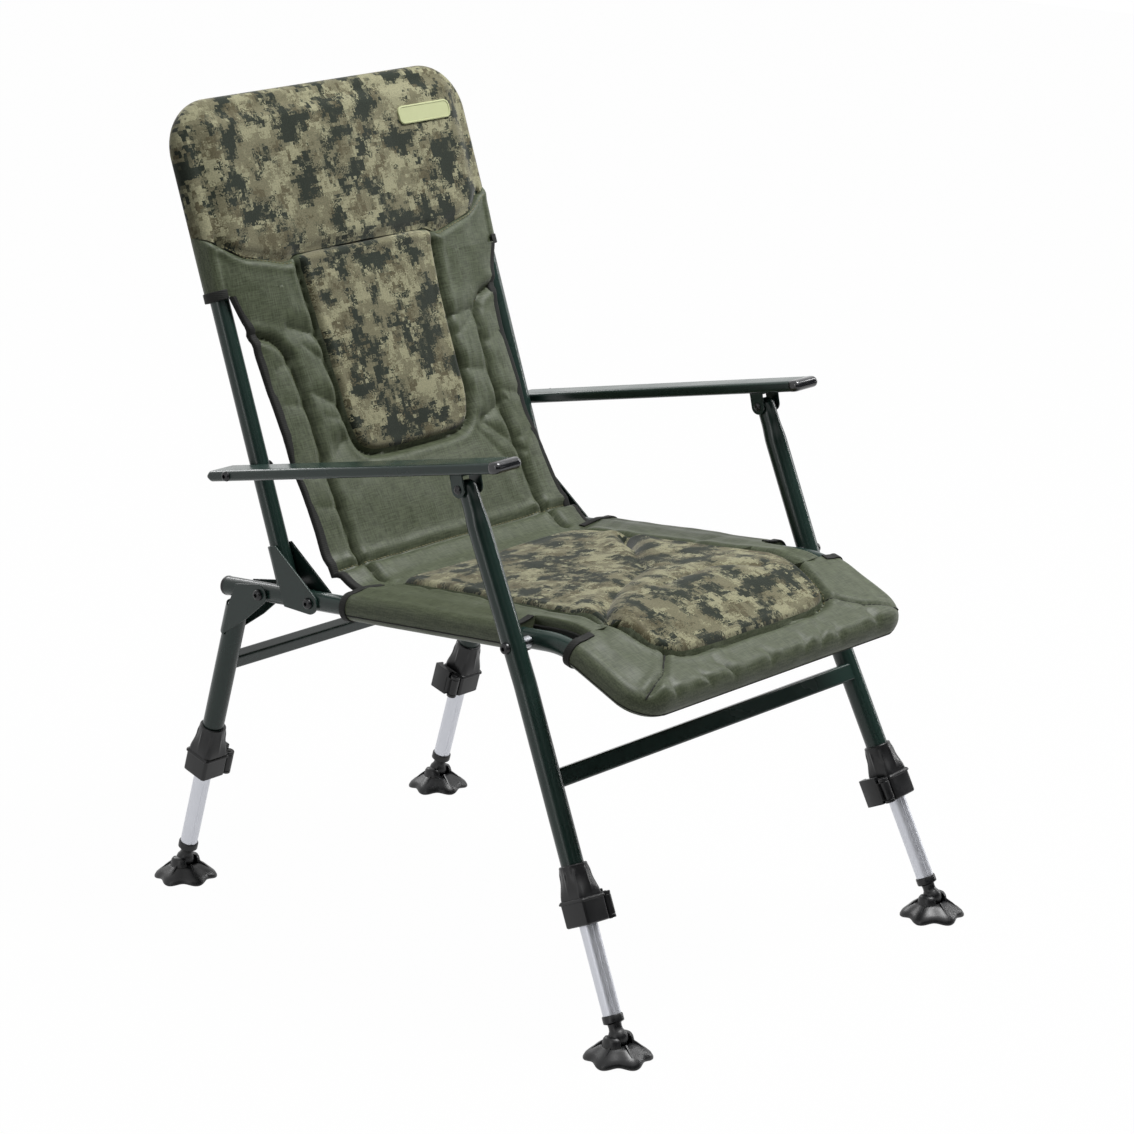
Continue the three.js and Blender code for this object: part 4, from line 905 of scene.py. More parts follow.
def make_armrests(tubes):
    width = tubes.arm_width / MM
    inner = HALF_WIDTH - tubes.rail / MM / 2 - ARM_OFFSET
    for name, side in SIDES.items():
        body = f"arm_{name}"
        place = arm_place(side)
        piece(f"arm_tube_{name}", arm_tube_shape(width), place, body, "paint", (f"armrest_{name}",))
        piece(f"arm_end_{name}", arm_cap_shape(width), place, body, "cap", (f"arm_cap_{name}",))
        solids = (f"arm_clevis_{name}",)
        piece(f"arm_fork_{name}", clevis_shape(), place, body, "paint", solids, CLEVIS_BEVEL)
        for where, outward in (("outer", side), ("inner", -side)):
            solids = (f"clevis_rivet_{where}_{name}",)
            piece(f"fork_rivet_{where}_{name}", rivet_shape(outward), place, body, "bolt", solids)
        seat = width / 2 + ARM_BOLT_SEAT
        bolt = bolt_shape(seat, inner - BOLT_SEAT, side, ARM_BOLT_HEAD, ARM_BOLT_HEIGHT)
        piece(f"arm_screw_{name}", bolt, place, body, "bolt", (f"arm_bolt_{name}",))


# Legs
TONGUE_WIDTH = 23
TONGUE_THICKNESS = 20
TONGUE_NECK = 44
TONGUE_EASE = 26
TONGUE_STEPS = 8
TONGUE_TIP = 1.5
TONGUE_LEAST_SHARES = (0.55, 0.05)
LEG_TUBE_IN_LOCK = 48
BAR_BITE = 0.7
BAR_CORNER = 2.6
BAR_STEP = 1.0
BAR_END_SHARES = (0.02, 0.3, 0.55, 0.8, 1)
LEG_BRACKET_SHEET = 1.6
LEG_BRACKET_EYE = 12
LEG_BRACKET_TAIL = 75
LEG_BRACKET_KNEE = 31
LEG_BRACKET_CROWN = 5.5
LEG_BRACKET_INSET = 4.5
LEG_BRACKET_CHIN = (10.6, -37.6)
LEG_BRACKET_BEVEL = 0.5
LEG_TUBE_CHAMFER = 1


def lower_run(side):
    return Vector((side * LOWER_RUN.x, LOWER_RUN.y, LOWER_RUN.z))


def front_leg_place(side):
    return placed(Vector((side * ARM_OFFSET, LEG_PIVOT.y, LEG_PIVOT.z)), -UPPER_LEAN)


def tongue_rings(radius):
    """Heights and sections from the round tube up to the rounded tip of its tongue."""
    shoulder = TONGUE_UP - TONGUE_NECK
    tip = TONGUE_WIDTH / 2
    deep = TONGUE_THICKNESS / 2
    rings = []
    for i in range(1, TONGUE_STEPS + 1):
        share = (1 - math.cos(math.pi * i / TONGUE_STEPS)) / 2
        section = circle(lerp(radius, deep, share), lerp(radius, tip, share))
        rings.append((shoulder + TONGUE_EASE * i / TONGUE_STEPS, section))
    for i in range(1, TONGUE_STEPS + 1):
        angle = math.pi / 2 * i / TONGUE_STEPS
        narrow = max(math.cos(angle), TONGUE_LEAST_SHARES[1])
        section = circle(deep * max(narrow, TONGUE_LEAST_SHARES[0]), tip * narrow)
        rings.append((TONGUE_UP - 1 + (tip - TONGUE_TIP) * math.sin(angle), section))
    return rings


def front_leg_shape(radius, side):
    """The bent leg tube, drawn down at its top to a rounded tongue."""
    run = lower_run(side).normalized()
    run.rotate(Matrix.Rotation(UPPER_LEAN, 3, "X"))
    bend = Vector((0, 0, -BEND_DOWN))
    end = LOWER_RUN.length - LOCK_ABOVE_BALL + LEG_TUBE_IN_LOCK
    top = Vector((0, 0, TONGUE_UP - TONGUE_NECK))
    path = bent_path([bend + run * end, bend, top], [FRONT_BEND_RADIUS])
    sections = [circle(radius) for _ in path]
    for height, section in tongue_rings(radius):
        path.append(Vector((0, 0, height)))
        sections.append(section)
    return sweep(path, sections)


def bar_shape(width, legs, tube):
    """A square bar whose ends are cut round, to sit on the leg tubes and not in them."""
    section = even_outline(np.array(rounded_box(width, width, BAR_CORNER)), BAR_STEP)
    rings = []
    for side, shares in ((-1, BAR_END_SHARES), (1, BAR_END_SHARES[::-1])):
        for share in shares:
            ring = section * share
            reach = legs - np.sqrt((tube - BAR_BITE) ** 2 - ring[:, 0] ** 2)
            rings.append([(side * x, y, z) for x, (y, z) in zip(reach, ring)])
    return loft(rings)


def make_front_legs(tubes):
    radius = tubes.leg / MM / 2
    for name, side in SIDES.items():
        leg = front_leg_shape(radius, side)
        place = front_leg_place(side)
        piece(f"front_tube_{name}", leg, place, "front_legs", "paint", (f"front_leg_{name}",))
    share = FRONT_BAR_BELOW_BEND / LOWER_RUN.length
    middle = Vector((0, FRONT_BEND.y + LOWER_RUN.y * share, FRONT_BEND.z + LOWER_RUN.z * share))
    place = placed(middle, -math.atan2(-LOWER_RUN.y, -LOWER_RUN.z))
    bar = bar_shape(tubes.front_bar / MM, ARM_OFFSET + LOWER_RUN.x * share, radius)
    piece("front_bar", bar, place, "front_legs", "paint", ("front_cross_bar",))


def rear_leg_place(side):
    return placed(Vector((side * HALF_WIDTH, REAR_HINGE.y, REAR_HINGE.z)), REAR_LEAN)


def rear_bracket_shape(radius):
    rear = REAR_LEG_OFFSET + WRAP_START
    crown = (rear - LEG_BRACKET_INSET, -LEG_BRACKET_CROWN)
    outline = [(rear, -LEG_BRACKET_TAIL), (rear, -LEG_BRACKET_KNEE), crown]
    outline += eye_arc(crown, LEG_BRACKET_CHIN, LEG_BRACKET_EYE) + [LEG_BRACKET_CHIN]
    ends = (-REAR_LEG_HEAD, -LEG_BRACKET_TAIL)
    return folded_bracket(outline, REAR_LEG_OFFSET, radius, LEG_BRACKET_SHEET, *ends)


def rear_tube_shape(radius):
    low = LOCK_ABOVE_BALL - LEG_TUBE_IN_LOCK - REAR_LEG_LENGTH
    top = -REAR_LEG_HEAD
    chamfer = LEG_TUBE_CHAMFER
    tube = lathe([(0, low), (radius, low), (radius, top - chamfer), (radius - chamfer, top), (0, top)])
    return moved(tube, shift(0, REAR_LEG_OFFSET, 0))


def make_rear_legs(tubes):
    radius = tubes.leg / MM / 2
    bracket = rear_bracket_shape(radius)
    tube = rear_tube_shape(radius)
    for name, side in SIDES.items():
        place = rear_leg_place(side)
        solids = (f"rear_gusset_{name}",)
        piece(f"rear_bracket_{name}", bracket, place, "rear_legs", "paint", solids, LEG_BRACKET_BEVEL)
        piece(f"rear_tube_{name}", tube, place, "rear_legs", "paint", (f"rear_leg_{name}",))
    height = REAR_BAR_ABOVE_BALL - REAR_LEG_LENGTH
    place = rear_leg_place(0) @ shift(0, REAR_LEG_OFFSET, height)
    bar = bar_shape(tubes.rear_bar / MM, HALF_WIDTH, radius)
    piece("rear_bar", bar, place, "rear_legs", "paint", ("rear_cross_bar",))


def leg_end_place(end, side):
    """The frame of a leg's lower end: its origin in the ball, Z up along the leg."""
    if end == "front":
        origin = Vector((side * FRONT_FOOT.x, FRONT_FOOT.y, BALL_HEIGHT))
        turn = Vector((0, 0, 1)).rotation_difference(-lower_run(side))
        return Matrix.Translation(origin) @ turn.to_matrix().to_4x4()
    return rear_leg_place(side) @ shift(0, REAR_LEG_OFFSET, -REAR_LEG_LENGTH)


# Leg locks
LEVER_EYE = 12
LEVER_PIN_INSET = 6
LEVER_PIN_RADIUS = 2
LEVER_STANDOFF = 0.5
LEVER_PLATE = 6
LEVER_GRIP = 11
LEVER_LUG = 3.5
LEVER_PLAY = 0.3
LEVER_BEVEL = 0.7
LEVER_PIN_X = LOCK_BLOCK / 2 + LEVER_STANDOFF + LEVER_EYE / 2
LEVER_PIN_Y = -LOCK_BLOCK / 2 + LEVER_PIN_INSET
LOCK_BOTTOM = -LOCK_COLLAR_LENGTH - LOCK_BLOCK_HEIGHT
LOCK_BEVEL = 0.5
LOCK_ROUND = 4
LOCK_FOOT_SHRINK = 2.4
LOCK_FOOT_ROUND = 3.2
BLOCK_PROFILE = ((0.6, 1.2), (0, 0), (-1.6, -1.2), (-3.4, -1.4), (-4.2, 0), (1.4 - LOCK_BLOCK_HEIGHT, 0))
COLLAR_WIDTH = 31
COLLAR_FACETS = 96
COLLAR_FLARE = 1.2
COLLAR_RIBS = 8
COLLAR_RIB_HEIGHT = 1.7
COLLAR_RIB_START = 3
COLLAR_RIB_RUN = 6
COLLAR_CORNER_SHARE = 1.24
COLLAR_LIP_SHARE = 0.94
PIN_OVERRUN = 0.6
LOCK_WEB = (-3, 6)
LOCK_WEB_ROOT = 4


def collar_ring(height):
    """Round at the top, nearly square at the bottom, with ribs down its sides."""
    share = float(smooth(-height, 4, LOCK_COLLAR_LENGTH))
    ring = []
    for angle in full_turn(COLLAR_FACETS):
        round_radius = COLLAR_WIDTH / 2 + COLLAR_FLARE * share
        corner = max(abs(math.cos(angle)), abs(math.sin(angle)))
        square = min(LOCK_BLOCK / 2 / corner, LOCK_BLOCK / 2 * COLLAR_CORNER_SHARE)
        fade = min(1.0, max(0.0, (-height - COLLAR_RIB_START) / COLLAR_RIB_RUN))
        rib = max(0.0, math.cos(angle * COLLAR_RIBS)) ** 4 * COLLAR_RIB_HEIGHT * fade
        radius = lerp(round_radius, square, share * share) + rib * (1 - share)
        ring.append((*polar(radius, angle), height))
    return ring


def post(radius, low, high, facets):
    return loft([ring_at(circle(radius, count=facets), height) for height in (low, high)])


def lever_eye(low, high, pin_x):
    return moved(post(LEVER_EYE / 2, low, high, 32), shift(pin_x, LEVER_PIN_Y, 0))


def block_shape():
    rings = []
    for height, shrink in BLOCK_PROFILE:
        width = LOCK_BLOCK - shrink * 2
        rings.append(ring_at(rounded_box(width, width, LOCK_ROUND), -LOCK_COLLAR_LENGTH + height))
    width = LOCK_BLOCK - LOCK_FOOT_SHRINK
    rings.append(ring_at(rounded_box(width, width, LOCK_FOOT_ROUND), LOCK_BOTTOM))
    return loft(rings)


def lock_body_shape(inward):
    heights = [0.0, -1.0, -COLLAR_RIB_START] + [-LOCK_COLLAR_LENGTH * i / 14 for i in range(2, 15)]
    rings = [collar_ring(h) for h in heights]
    rings[0] = [(x * COLLAR_LIP_SHARE, y * COLLAR_LIP_SHARE, z) for x, y, z in rings[0]]
    pin_x = inward * LEVER_PIN_X
    root = inward * (LOCK_BLOCK / 2 - LOCK_WEB_ROOT)
    rear, ahead = (LEVER_PIN_Y + reach for reach in LOCK_WEB)
    web = [(root, rear), (pin_x, rear), (pin_x, ahead), (root, ahead)]
    lugs = []
    for high in (-LOCK_COLLAR_LENGTH, LOCK_BOTTOM + LEVER_LUG):
        low = high - LEVER_LUG
        lugs.append(lever_eye(low, high, pin_x))
        lugs.append(loft([ring_at(web, low), ring_at(web, high)]))
    pin = post(LEVER_PIN_RADIUS, LOCK_BOTTOM - PIN_OVERRUN, -LOCK_COLLAR_LENGTH + PIN_OVERRUN, 20)
    pin = moved(pin, shift(pin_x, LEVER_PIN_Y, 0))
    return combined(loft(rings), block_shape(), *lugs, pin)


def lever_shape(inward):
    """An eye round the pin, a plate along the block, and a hooked finger grip."""
    high = -LOCK_COLLAR_LENGTH - LEVER_LUG - LEVER_PLAY
    low = LOCK_BOTTOM + LEVER_LUG + LEVER_PLAY
    face = LEVER_PIN_X + LEVER_EYE / 2
    back = face - LEVER_PLATE
    start = LEVER_PIN_Y + LEVER_EYE / 2 + LEVER_STANDOFF
    half = LOCK_BLOCK / 2
    neck = [(back, LEVER_PIN_Y), (face, LEVER_PIN_Y), (face, start + 3), (back, start + 3)]
    grip = [
        (back, start),
        (face - 0.6, start),
        (face, start + 1.5),
        (face, half + LEVER_PLATE / 2 - 2),
        (face - 1.5, half + LEVER_PLATE / 2),
        (face - LEVER_GRIP, half + 0.5),
        (face - LEVER_GRIP, half - 1),
        (back, half - LEVER_PLATE),
    ]
    parts = combined(
        lever_eye(low, high, LEVER_PIN_X),
        loft([ring_at(neck, low), ring_at(neck, high)]),
        loft([ring_at(grip, LOCK_BOTTOM), ring_at(grip, -LOCK_COLLAR_LENGTH + LEVER_LUG)]),
    )
    return parts if inward > 0 else mirrored(parts)


def make_locks():
    for end in ("front", "rear"):
        for name, side in SIDES.items():
            place = leg_end_place(end, side) @ shift(0, 0, LOCK_ABOVE_BALL)
            lock = lock_body_shape(-side)
            solids = (f"{end}_lock_{name}",)
            piece(f"{end}_clamp_{name}", lock, place, f"{end}_legs", "plastic", solids, LOCK_BEVEL)
            lever = lever_shape(-side)
            body = f"{end}_lever_{name}"
            solids = (f"{end}_lock_lever_{name}",)
            piece(f"{end}_clamp_lever_{name}", lever, place, body, "plastic", solids, LEVER_BEVEL)


# Sliding legs and feet
FERRULE_ABOVE_BALL = 17
FERRULE_HEIGHT = 8
INNER_TUBE_INSIDE = 130
INNER_TUBE_FACETS = 120
GROOVE_ANGLE = math.radians(-115)
GROOVE_DEPTH = 0.7
GROOVE_SPREAD = 0.07
BALL_STEM_PROFILE = (
    (0, -11), (3.6, -10.4), (7.4, -8.1), (10.1, -4.3), (11, 0), (10.2, 4.2), (8.6, 6.9), (7.5, 9),
    (7.2, 12), (7.6, 15.5), (10.6, 16.6), (11.5, 17.4), (11.5, 24.2), (10.9, 25.2), (10.2, 25.4), (0, 25.4),
)

# Each ring of the foot's skirt: its radius, height, depth of the lobes, and wave of its hem
SKIRT_RINGS = (
    (34.0, 1.5, 0.07, 2.5), (35.6, 0.0, 0.07, 2.5), (37.3, 1.2, 0.07, 2.5), (37.2, 3.4, 0.07, 2.0),
    (35.2, 6.8, 0.065, 1.5), (31.0, 10.5, 0.06, 0.8), (26.0, 13.8, 0.05, 0), (21.5, 16.6, 0.035, 0),
    (18.0, 18.6, 0.02, 0), (12.0, 19.0, 0, 0), (9.0, 15.0, 0, 0),
)
FOOT_LOBES = 6
FOOT_TURN = 12
FOOT_FACETS = 120
FOOT_BEVEL = 0.5
FOOT_SLOT = 8.9
LUG_RINGS = ((12, 19.5, 13.5), (20, 18.6, 12.5), (25, 17.6, 11), (27.4, 16.4, 9), (28.3, 14.6, 6.5))
LUG_CUT = 0.12
WEB_HALF_WIDTH = 1.1
WEB_OUTLINE = ((13, 14), (34.5, 3), (34.0, 7.2), (24.0, 16.4), (16.5, 22.0))


def inner_leg_shape(radius):
    """A tube with one drawn groove down its length."""
    bottom = FERRULE_ABOVE_BALL + FERRULE_HEIGHT - 1
    top = LOCK_ABOVE_BALL + LOCK_BOTTOM + INNER_TUBE_INSIDE
    section = []
    for angle in full_turn(INNER_TUBE_FACETS):
        gap = (angle - GROOVE_ANGLE + math.pi) % (2 * math.pi) - math.pi
        notch = GROOVE_DEPTH * math.exp(-((gap / GROOVE_SPREAD) ** 2))
        section.append(polar(radius - notch, angle))
    return loft([ring_at(section, bottom), ring_at(section, top)])


def skirt_ring(radius, height, lobe, wave):
    ring = []
    for angle in full_turn(FOOT_FACETS):
        dip = 1 - math.cos(FOOT_LOBES * (angle - math.radians(FOOT_TURN)))
        ring.append((*polar(radius * (1 - lobe * dip), angle), height + wave * dip / 2))
    return ring


def lug_shape(side):
    """One of the two jaws that grip the ball."""
    rings = []
    for height, reach, half in LUG_RINGS:
        outline = [(side * FOOT_SLOT, -half), (side * FOOT_SLOT, half)]
        for angle in np.linspace(LUG_CUT, math.pi - LUG_CUT, 22):
            x = FOOT_SLOT + (reach - FOOT_SLOT) * math.sin(angle)
            outline.append((side * x, half * math.cos(angle)))
        rings.append(ring_at(outline, height))
    return loft(rings)


def web_shape():
    """One of the ribs that brace the boss against the skirt."""
    count = len(WEB_OUTLINE)
    points = [(x, y, z) for y in (-WEB_HALF_WIDTH, WEB_HALF_WIDTH) for x, z in WEB_OUTLINE]
    faces = [tuple(range(count)), tuple(reversed(range(count, 2 * count)))]
    faces += [(k, k + count, (k + 1) % count + count, (k + 1) % count) for k in range(count)]
    return points, faces


def foot_shape():
    """A lobed skirt, a boss, and two lugs that grip the ball on either side of a slot."""
    skirt = loft([skirt_ring(*ring) for ring in SKIRT_RINGS])
    web = web_shape()
    turns = [math.radians(FOOT_TURN + 360 / FOOT_LOBES * i) for i in range(FOOT_LOBES)]
    webs = [moved(web, Matrix.Rotation(turn, 4, "Z")) for turn in turns]
    return combined(skirt, lug_shape(-1), lug_shape(1), *webs)


def make_inner_legs(tubes):
    leg = inner_leg_shape(tubes.inner / MM / 2)
    stem = lathe(BALL_STEM_PROFILE)
    for end in ("front", "rear"):
        for name, side in SIDES.items():
            place = leg_end_place(end, side)
            body = f"{end}_extension_{name}"
            piece(f"{end}_slide_{name}", leg, place, body, "aluminium", (f"{end}_inner_leg_{name}",))
            piece(f"{end}_ball_end_{name}", stem, place, body, "plastic", (f"{end}_ball_stem_{name}",))


def make_feet():
    shape = foot_shape()
    for end, foot in (("front", FRONT_FOOT), ("rear", REAR_FOOT)):
        for name, side in SIDES.items():
            place = shift(side * foot.x, foot.y, 0)
            body = f"{end}_foot_{name}"
            piece(f"{end}_mud_foot_{name}", shape, place, body, "plastic", (body,), FOOT_BEVEL)


# Cloth outlines lie on the flat cloth: across from the middle, and along it
SEAM_SWELL = 0.35
FOLD_FADE = 0.55
SEAT_REAR = 52
SEAT_REST_TOP = 13
SEAT_REAR_TOP = 10
SEAT_UNDER = 9
SLOT = (314, 388)
SLOT_HALF_WIDTH = 198
SLOT_RIM = 6
SEAT_PANEL = (
    (0, 56), (132, 56), (149.5, 64), (149.5, 129), (155, 219), (158, 283), (162.5, 330), (164, 362),
    (153, 399), (146, 424), (137, 445), (116, 457), (60, 459), (0, 459.5),
)
SEAT_PANEL_MIDDLE = (0, 258)
SEAT_CREASE = ((-163, 393), (-141, 364), (-74, 324), (22, 280), (65, 230), (99, 198), (136, 152))
MITRE = ((136, 443), (172, 473), (216, 492))
FRONT_PUCKERS = (-174, -124, -88, -24, 38, 72, 104, 168)
BACK_PANEL = (
    (0, 141), (58, 141.5), (80, 146), (92, 155), (96.5, 168), (101, 190), (101.5, 226), (102.6, 245),
    (103.5, 281), (106.5, 321), (109, 360), (112, 379), (110, 390), (0, 391),
)
BACK_PANEL_MIDDLE = (0, 265)
BACK_CHANNEL = (
    (153, -12), (153, 31), (152, 80), (151, 124), (149, 161), (148.5, 191), (150.5, 221), (152.6, 254),
    (156, 274), (163, 288), (173, 297), (196, 305),
)
BACK_EDGE = (
    (-20, 192), (0, 196), (19, 198.5), (39, 198.5), (70, 195), (97, 193.5), (149, 192), (198, 193.5),
    (253, 194.5), (297, 198), (323, 204), (345, 212), (354, 216),
)
HEAD_SEAM = ((0, 388), (111, 387), (118, 380), (127, 381), (149.5, 387), (184, 396), (215, 416), (232, 427))
SEAT_SOFT_CREASE = ((-31, 350), (70, 338), (106, 373))
BACK_FOLDS = (
    ((-102, 288), (-150, 308), 6.0, 6.5),
    ((-100, 250), (-134, 284), 4.5, 6.0),
    ((-103, 204), (-142, 230), 4.5, 5.5),
    ((-92, 184), (-133, 200), 3.0, 5.0),
    ((-112, 168), (-135, 152), 3.5, 5.5),
    ((-78, 140), (-124, 104), 1.8, 6.0),
    ((-150, 270), (-182, 262), 2.0, 5.0),
    ((-148, 214), (-182, 222), 2.0, 5.0),
    ((-150, 150), (-182, 136), 2.2, 5.0),
    ((-150, 92), (-184, 100), 1.8, 5.0),
    ((105, 277), (150, 282), 5.5, 6.0),
    ((112, 256), (166, 286), 4.0, 6.0),
    ((108, 214), (146, 206), 3.0, 5.5),
    ((113, 152), (160, 168), 5.0, 5.5),
    ((110, 146), (162, 98), 4.5, 5.0),
    ((96, 140), (138, 78), 2.5, 6.0),
    ((160, 240), (186, 250), 2.0, 5.0),
    ((160, 178), (186, 170), 2.6, 5.0),
    ((160, 118), (186, 124), 2.2, 5.0),
    ((60, 30), (20, 62), 1.2, 7.0),
    ((-90, 26), (-50, 52), 1.2, 7.0),
)
SEAT_FOLDS = (
    ((166, 356), (192, 404), 2.5, 5.0),
    ((-166, 372), (-192, 418), 3.0, 5.0),
    ((160, 232), (196, 246), 2.0, 5.0),
    ((-160, 214), (-196, 226), 2.0, 5.0),
    ((-160, 120), (-198, 110), 1.8, 5.5),
    ((154, 118), (196, 96), 1.8, 5.5),
    ((150, 66), (196, 60), 2.5, 5.0),
    ((-148, 64), (-198, 66), 3.0, 5.0),
    ((-60, 462), (-66, 488), 1.6, 4.5),
    ((84, 460), (96, 490), 1.8, 4.5),
)
SEAT_WAVES = ((1.3, 74, 2.1), (0.6, 27, 5.3))
UNDER_WAVES = ((0.8, 90, 7.0),)
BACK_WAVES = ((1.3, 96, 1.4), (0.7, 33, 4.0))
HEAD_WAVES = ((1.1, 88, 0.6), (0.5, 29, 3.3))
SEAT_SEAM_LINE = ((60, 6.5), (51.5, 10), (38, 15), (24, 25), (11, 31))
LUMBAR_LINE = ((-9, 44), (-3, 80), (2, 115), (9, 149.5))
LUMBAR_TOP = 149.5
LINE_STEPS = 12
BACK_SLEEVE_START = 354
BACK_FOOT_DEPTH = 29
BACK_SHOULDER_DEPTH = 22
BACK_BEHIND = 11
BACK_THICKNESS = 12
BOUND_THICKNESS = 4
EDGE_DROP = 6.5
HEAD_ROLL = 15
HEAD_CROWN = 10
HEAD_BELLY = 5
HEAD_RIM = 12
HEAD_GROOVE = 5.5
HEAD_GROOVE_WIDTH = 6.5
HEAD_TUCK = 1.5
BADGE_PLACE = (145, 520)
BADGE_SIZE = (86, 22)
BADGE_FLAT = (40, 9)
BADGE_FADE = (14, 12)
BADGE_ROUND = 8
BADGE_STEPS = ((0, -1.0), (0, 1.5), (0.3, 2.0), (0.8, 2.2), (1.9, 2.2), (2.3, 1.6), (4.0, 1.6))


def mirrored_outline(right):
    left = [(-x, v) for x, v in reversed(right) if x]
    return np.array(list(right) + left, float)


def softened(outline, rounds=3):
    """Cuts the corners of a closed outline until it is round."""
    for _ in range(rounds):
        following = np.roll(outline, -1, axis=0)
        near = outline * 0.75 + following * 0.25
        far = outline * 0.25 + following * 0.75
        outline = np.stack([near, far], axis=1).reshape(-1, 2)
    return outline


def run_along(line):
    """The distance along a line up to each of its points."""
    return np.concatenate([[0], np.cumsum(np.hypot(*np.diff(line, axis=0).T))])


def line_distance(x, v, line):
    """Distance to an open line, and how far along it the nearest point is, as a share."""
    line = np.array(line, float)
    lengths = np.hypot(*np.diff(line, axis=0).T)
    before = np.concatenate([[0], np.cumsum(lengths)])
    best = np.full(np.shape(x), np.inf)
    along = np.zeros(np.shape(x))
    for i, span in enumerate(lengths):
        step = line[i + 1] - line[i]
        share = np.clip(((x - line[i][0]) * step[0] + (v - line[i][1]) * step[1]) / span ** 2, 0, 1)
        gap = np.hypot(x - line[i][0] - share * step[0], v - line[i][1] - share * step[1])
        along = np.where(gap < best, (before[i] + share * span) / before[-1], along)
        best = np.minimum(best, gap)
    return best, along


def outline_distance(x, v, outline):
    """Distance to a closed outline, negative inside it."""
    inside = np.zeros(np.shape(x), bool)
    for (x0, v0), (x1, v1) in zip(outline, np.roll(outline, -1, axis=0)):
        if v0 == v1:
            continue
        crosses = (v0 > v) != (v1 > v)
        inside ^= crosses & (x < x0 + (v - v0) / (v1 - v0) * (x1 - x0))
    gap, _ = line_distance(x, v, np.vstack([outline, outline[:1]]))
    return np.where(inside, -gap, gap)


def ripples(x, v, size, seed):
    """Slow unevenness of stuffed cloth, between -1 and 1."""
    total = np.zeros(np.shape(x))
    for i, turn in enumerate((0.3, 1.4, 2.2, 2.9, 4.1)):
        wave = 2 * math.pi / (size * (1 + 0.37 * i))
        total = total + np.sin(wave * (x * math.cos(turn) + v * math.sin(turn)) + seed * (i + 1.7))
    return total / 5


def waves(x, v, table):
    """Ripples laid over one another: each has its depth, its size and its seed."""
    return sum(depth * ripples(x, v, size, seed) for depth, size, seed in table)


def puff(gap, reach):
    """How far stuffing lifts the cloth at a distance from the nearest seam."""
    return 1 - np.exp(-np.maximum(gap, 0) / reach)


def sewn(gap, depth, width):
    """A seam pulls the cloth down to a sharp line, and the stuffing swells beside it."""
    gap = np.abs(gap)
    return depth * (SEAM_SWELL * bell(gap - 3 * width, 2 * width) - np.exp(-gap / width))


def folds(x, v, lines):
    """Folds that stand across the cloth: each has its ends, its depth and its width."""
    relief = np.zeros(np.shape(x))
    for start, end, depth, width in lines:
        gap, along = line_distance(x, v, (start, end))
        relief += sewn(gap, depth, width) * (1 - FOLD_FADE * along) * (along < 1)
    return relief


def tube_gap(x, v, end, corner):
    """Distance outside the rounded outline of the bent tube, negative inside it."""
    across = np.abs(x) - (HALF_WIDTH - corner)
    along = v - (end - corner)
    round_gap = np.hypot(np.maximum(across, 0), np.maximum(along, 0))
    return round_gap + np.minimum(np.maximum(across, along), 0) - corner


def sleeve_half_width(v, end, corner, roll):
    rise = np.maximum(v - (end - corner), 0)
    return HALF_WIDTH - corner + np.sqrt(np.maximum((corner + roll) ** 2 - rise ** 2, 0))


# Seat cover
def seat_drop():
    bend = FRONT_DROP_RADIUS * math.tan(FRONT_DROP_ANGLE / 2)
    slope = FRONT_TUBE_DROP / math.sin(FRONT_DROP_ANGLE) - bend
    start = knee_ahead() - bend
    return start, start + FRONT_DROP_RADIUS * FRONT_DROP_ANGLE + slope


SEAT_DROP_START, SEAT_FRONT = seat_drop()


def seat_position(x, v, height):
    """From the flat cloth to the seat's frame, at a height over the plane of the tubes."""
    turn = np.clip((v - SEAT_DROP_START) / FRONT_DROP_RADIUS, 0, FRONT_DROP_ANGLE)
    straight = np.maximum(v - SEAT_DROP_START - FRONT_DROP_RADIUS * FRONT_DROP_ANGLE, 0)
    ahead = np.minimum(v, SEAT_DROP_START) + FRONT_DROP_RADIUS * np.sin(turn)
    ahead = ahead + straight * math.cos(FRONT_DROP_ANGLE) + np.sin(turn) * height
    up = np.cos(turn) * height - FRONT_DROP_RADIUS * (1 - np.cos(turn))
    up -= straight * math.sin(FRONT_DROP_ANGLE)
    return np.stack([x, -ahead, up], axis=-1)


PANEL_SWELL = 15
BORDER_PUFF = 4.2
BORDER_SWELL = 9
BORDER_FADE = (190, 216)
CREASE_DEPTH = 8.0
CREASE_MIDDLE = 4.0
CREASE_END_SHARES = (0.2, 0.46)
SOFT_CREASE_DEPTH = 3.0
MITRE_DEPTH = 4.5
MITRE_END_SHARES = (0.9, 1.0)
PUCKER_DEPTH = 3.4
PUCKER_WIDTH = 4
PUCKER_START = 24
PUCKER_SPREAD = 13
PUCKER_END = 6
PUCKER_SWAY = 5
PUCKER_PITCH = 9
SEAT_SHOULDER = 58
SEAT_RISE_RUN = 60


